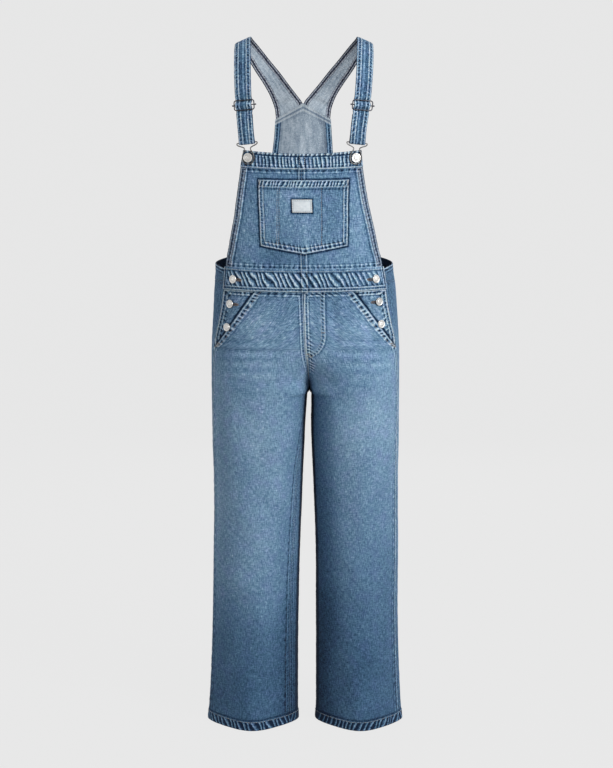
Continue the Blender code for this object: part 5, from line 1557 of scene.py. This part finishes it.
# mock fly on the left panel: two rows that curve in to the centre
for inset in (0.0, 6.2):
    line = []
    for k in range(30):
        h = 892 - (892 - legPiece["flyStraight"]) * k / 29
        line.append((h, inner("frontLegLeft", h, legPiece["flyWidth"] - inset)))
    for k in range(1, 25):
        a = math.pi / 2 * k / 24
        width = (legPiece["flyWidth"] - inset) * math.cos(a)
        h = legPiece["flyStraight"] - (legPiece["flyStraight"] - legPiece["flyBottom"] - inset * 0.9) * math.sin(a)
        line.append((h, inner("frontLegLeft", h, max(width, 1.0))))
    pale.append(rowOn("frontLegLeft", line))
tacks.append(rowOn("frontLegLeft", [(770, inner("frontLegLeft", 770, 4.0)), (762, inner("frontLegLeft", 762, 13.0))], 0.3, True, 1.0))
tacks.append(rowOn("frontLegLeft", [(812, inner("frontLegLeft", 812, 41.0)), (812, inner("frontLegLeft", 812, 33.0))], 0.3, True, 1.0))

# bib: rows are heights, columns are x from the middle
for tag in ("Right", "Left"):
    name = "bib" + tag
    edge = lambda h, inset: float(np.interp(h, [r[0] for r in bibRows], [r[1] for r in bibRows])) - inset
    for inset in (2.2, 11.2):
        pale.append(rowOn(name, [(h, edge(h, inset)) for h in np.linspace(939, 1129, 50)]))
    pale.append(rowOn(name, [(h, 4.9) for h in np.linspace(940, 1129, 40)]))
for x in (-4.9, 4.9):
    pale.append(rowOn("bibTopBand", [(1130.5, x), (1159.5, x)]))
    pale.append(rowOn("frontWaistband", [(893.5, x), (938.0, x)]))
for row in (1132.2, 1160.6):
    end = float(columnAt(bibRows, row)) - 1.5
    pale.append(rowOn("bibTopBand", [(row, -end + 2 * end * k / 60) for k in range(61)]))
for sign in (-1, 1):
    end = float(columnAt(bibRows, 1145)) - 1.9
    pale.append(rowOn("bibTopBand", [(1132.2, sign * end), (1160.6, sign * end)]))
bandEnd = panels["frontWaistband"].cols[10][-1]
for row, group in ((894.8, pale), (900.4, pale), (934.1, pale)):
    group.append(rowOn("frontWaistband", [(row, -bandEnd + 2.0 + 2 * (bandEnd - 2.0) * k / 80) for k in range(81)]))
for sign in (-1, 1):
    tan.append(rowOn("frontWaistband", [(894.8, sign * (bandEnd - 2.0)), (936.6, sign * (bandEnd - 2.0))]))

# pocket: rows are shares of its height, columns shares of its half width
tall = pocketPiece["top"] - pocketPiece["corner"]
for inset in (2.0, 9.2):
    side = 1 - inset / 85.0
    low = inset / tall
    pale.append(rowOn("bibPocket", [(0.985, -side)] + [(s, -side) for s in np.linspace(0.95, low, 16)]
                      + [(low, t) for t in np.linspace(-side, side, 40)[1:]] + [(s, side) for s in np.linspace(low, 0.985, 16)[1:]]))
for row in (1 - 2.0 / tall, 1 - 13.6 / tall):
    pale.append(rowOn("bibPocket", [(row, -0.985 + 1.97 * k / 50) for k in range(51)]))
for t0, t1 in ((-0.53, -0.575), (-0.575, -0.62), (0.40, 0.40)):
    tan.append(rowOn("bibPocket", [(0.88, t0), (0.08, t1)]))
for t in (-0.97, 0.97):
    tacks.append(rowOn("bibPocket", [(0.985, t), (0.90, t)], 0.3, True, 1.0))
rim = 1.3
pale.append(rowOn("bibLabel", [(1047 + rim, -17.7), (1047 + rim, 17.7), (1071.2 - rim, 17.7), (1071.2 - rim, -17.7), (1047 + rim, -17.7)]))

# back piece: rows are heights, columns shares of the half width
for sign in (-1, 1):
    for inset in (2.2, 12.2):
        line = []
        for h in np.linspace(962, 1222, 60):
            half = float(columnAt(backRows, h, 1))
            line.append((h, sign * (1 - inset / half)))
        tan.append(rowOn("backUpper", line))
        if inset < 5:
            pale.append(rowOn("backUpperInside", line))
for inset in (2.4, 9.4):
    line = [(1231 - inset, -0.97 + 1.94 * k / 40) for k in range(41)]
    tan.append(rowOn("backUpper", line))
    pale.append(rowOn("backUpperInside", line))

# straps: rows run from the back end, columns across
for side in (-1, 1):
    tag = "Right" if side < 0 else "Left"
    total, sMid = strapEnds[side]
    piece = panels["strap" + tag]
    for inset in (2.4, 8.2):
        for low, high in ((2.0, sMid - 16), (sMid + 16, total - 2)):
            for edge in (0, 1):
                line = []
                for s in np.linspace(low, high, max(4, int((high - low) / 6))):
                    width = float(np.interp(s, piece.rows, piece.cols[:, -1]))
                    line.append((s, inset if edge == 0 else width - inset))
                pale.append(rowOn("strap" + tag, line))
                if low < sMid - 20:
                    pale.append(rowOn("strap" + tag + "Inside", [spot for spot in line if spot[0] > 34]))


def buttonhole(panel, row, col, tall, long, direction):
    # zigzag threads round a slit, on a panel whose rows are heights
    loop = []
    for k in range(33):
        a = 2 * math.pi * k / 32
        loop.append((row + tall / 2 * math.sin(a), col + direction * (long / 2 + long / 2 * math.cos(a))))
    holes.append(rowOn(panel, loop, 0.22, True, 1.0))
    # a dark slab through the cloth fills the slit: painted shade in the opening
    piece = panels[panel]
    verts, faces = [], []
    for k in range(24):
        a = 2 * math.pi * k / 24
        p, n = piece.lookup(row + tall * 0.13 * math.sin(a), col + direction * (long / 2 + long * 0.42 * math.cos(a)))
        verts += [tuple(p + n * 0.32), tuple(p - n * 0.3)]
    faces.append(tuple(2 * k for k in range(24)))
    faces.append(tuple(2 * k + 1 for k in range(24))[::-1])
    faces += [(2 * k, 2 * k + 1, (2 * k + 3) % 48, (2 * k + 2) % 48) for k in range(24)]
    return outward(verts, faces)


def columnNear(panel, side, x, height):
    # the panel's column at a button
    piece = panels[panel]
    i = int(np.argmin(np.abs(piece.rows - height)))
    spot = frontAt(side * x, height)[0]
    return float(piece.cols[i][int(np.argmin(np.linalg.norm(piece.points[i] - spot, axis=-1)))])


slits, slitFaces = [], []
for label, node, side, x, height, base in buttonRows[:4]:
    panel = "frontWaistband" if label == "Waist" else "hipFacing" + ("Right" if side < 0 else "Left")
    direction = -side if label == "Waist" else 1
    v, f = buttonhole(panel, height - 0.5, columnNear(panel, side, x, height) + direction * 5.5, 3.8, 13.0, direction)
    start = len(slits)
    slits += v
    slitFaces += [tuple(i + start for i in face) for face in f]
solidPiece("buttonholeSlits", None, slits, slitFaces, slitShade)

sewnPiece("paleStitches", pale[:len(pale) // 2], sewing["pitch"], sewing["length"], sewing["width"], sewing["height"], threadPale, 3)
sewnPiece("paleStitchesUpper", pale[len(pale) // 2:], sewing["pitch"], sewing["length"], sewing["width"], sewing["height"], threadPale, 4)
sewnPiece("tanStitches", tan, sewing["pitch"], sewing["length"], sewing["width"], sewing["height"], threadTan, 5)
sewnPiece("seamStitches", blue, sewing["pitch"], sewing["length"], sewing["width"], sewing["height"], threadBlue, 7)
sewnPiece("buttonholeThreads", holes, 0.8, 3.2, 0.7, 0.6, threadBrown, 8)
sewnPiece("tackThreads", tacks, 0.8, 2.8, 0.6, 0.55, threadTan, 6)
print("sewing laid")


# ---------- stage, light and camera ----------
stageLook = {"grey": 0.80, "floor": -1.3835, "radius": 7.0, "wall": 9.0}


def stageBowl():
    look = stageLook
    f = Finish("paleStage", Roughness=0.9, Specular_IOR_Level=0.0)
    f.shader.inputs["Base Color"].default_value = (0.02, 0.02, 0.02, 1.0)
    f.shader.inputs["Emission Color"].default_value = (look["grey"], look["grey"], look["grey"], 1.0)
    f.shader.inputs["Emission Strength"].default_value = 0.985
    profile = [(0.0, 0.0), (look["radius"] * 0.6, 0.0)]
    for k in range(1, 13):
        a = math.pi / 2 * k / 12
        profile.append((look["radius"] * 0.6 + 2.8 * math.sin(a), 2.8 * (1 - math.cos(a))))
    profile.append((look["radius"], look["wall"]))
    verts, faces, rings = [], [], []
    for radius, z in profile:
        ring = []
        for k in range(64 if radius > 0 else 1):
            a = 2 * math.pi * k / 64
            ring.append(len(verts))
            verts.append((radius * math.cos(a), radius * math.sin(a), look["floor"] + z))
        rings.append(ring)
    for a, b in zip(rings, rings[1:]):
        for k in range(64):
            n = (k + 1) % 64
            faces.append((a[0], b[k], b[n]) if len(a) == 1 else (a[k], b[k], b[n], a[n]))
    mesh = bpy.data.meshes.new("stageBowl")
    mesh.from_pydata(verts, [], faces)
    mesh.shade_smooth()
    mesh.materials.append(f.material)
    obj = bpy.data.objects.new("stageBowl", mesh)
    scene.collection.objects.link(obj)
    obj.visible_diffuse = False
    obj.visible_glossy = True


stageBowl()
world = bpy.data.worlds.new("softRoom")
scene.world = world
world.use_nodes = True
world.node_tree.nodes["Background"].inputs[0].default_value = (0.95, 0.97, 1.0, 1.0)
world.node_tree.nodes["Background"].inputs[1].default_value = 0.30

lightLook = {
    "key": ((2.2, -2.2, 0.6), 1.3, 92.0), "fill": ((-2.8, -1.6, 0.2), 1.8, 20.0),
    "top": ((0.2, -0.6, 2.4), 1.6, 22.0), "back": ((0.3, 2.8, 0.6), 2.0, 36.0),
}
for name, (place, size, power) in lightLook.items():
    lamp = bpy.data.lights.new(name, "AREA")
    lamp.shape, lamp.size, lamp.size_y, lamp.energy = "RECTANGLE", size, size * 1.3, power
    obj = bpy.data.objects.new(name, lamp)
    obj.location = place
    obj.rotation_euler = (Vector((0.0, 0.0, -0.7)) - Vector(place)).to_track_quat("-Z", "Y").to_euler()
    obj.visible_camera = False
    scene.collection.objects.link(obj)

camera = bpy.data.cameras.new("view")
camera.lens, camera.sensor_width, camera.sensor_fit = 69.8, 36.0, "AUTO"
camera.clip_end = 60.0
eye = bpy.data.objects.new("view", camera)
eye.location = (0.003, -3.0, 1.07 - 1.378)
eye.rotation_euler = (math.radians(90.0 - 7.1), 0.0, 0.0)
scene.collection.objects.link(eye)
scene.camera = eye
scene.view_settings.view_transform = "Standard"
scene.view_settings.look = "None"
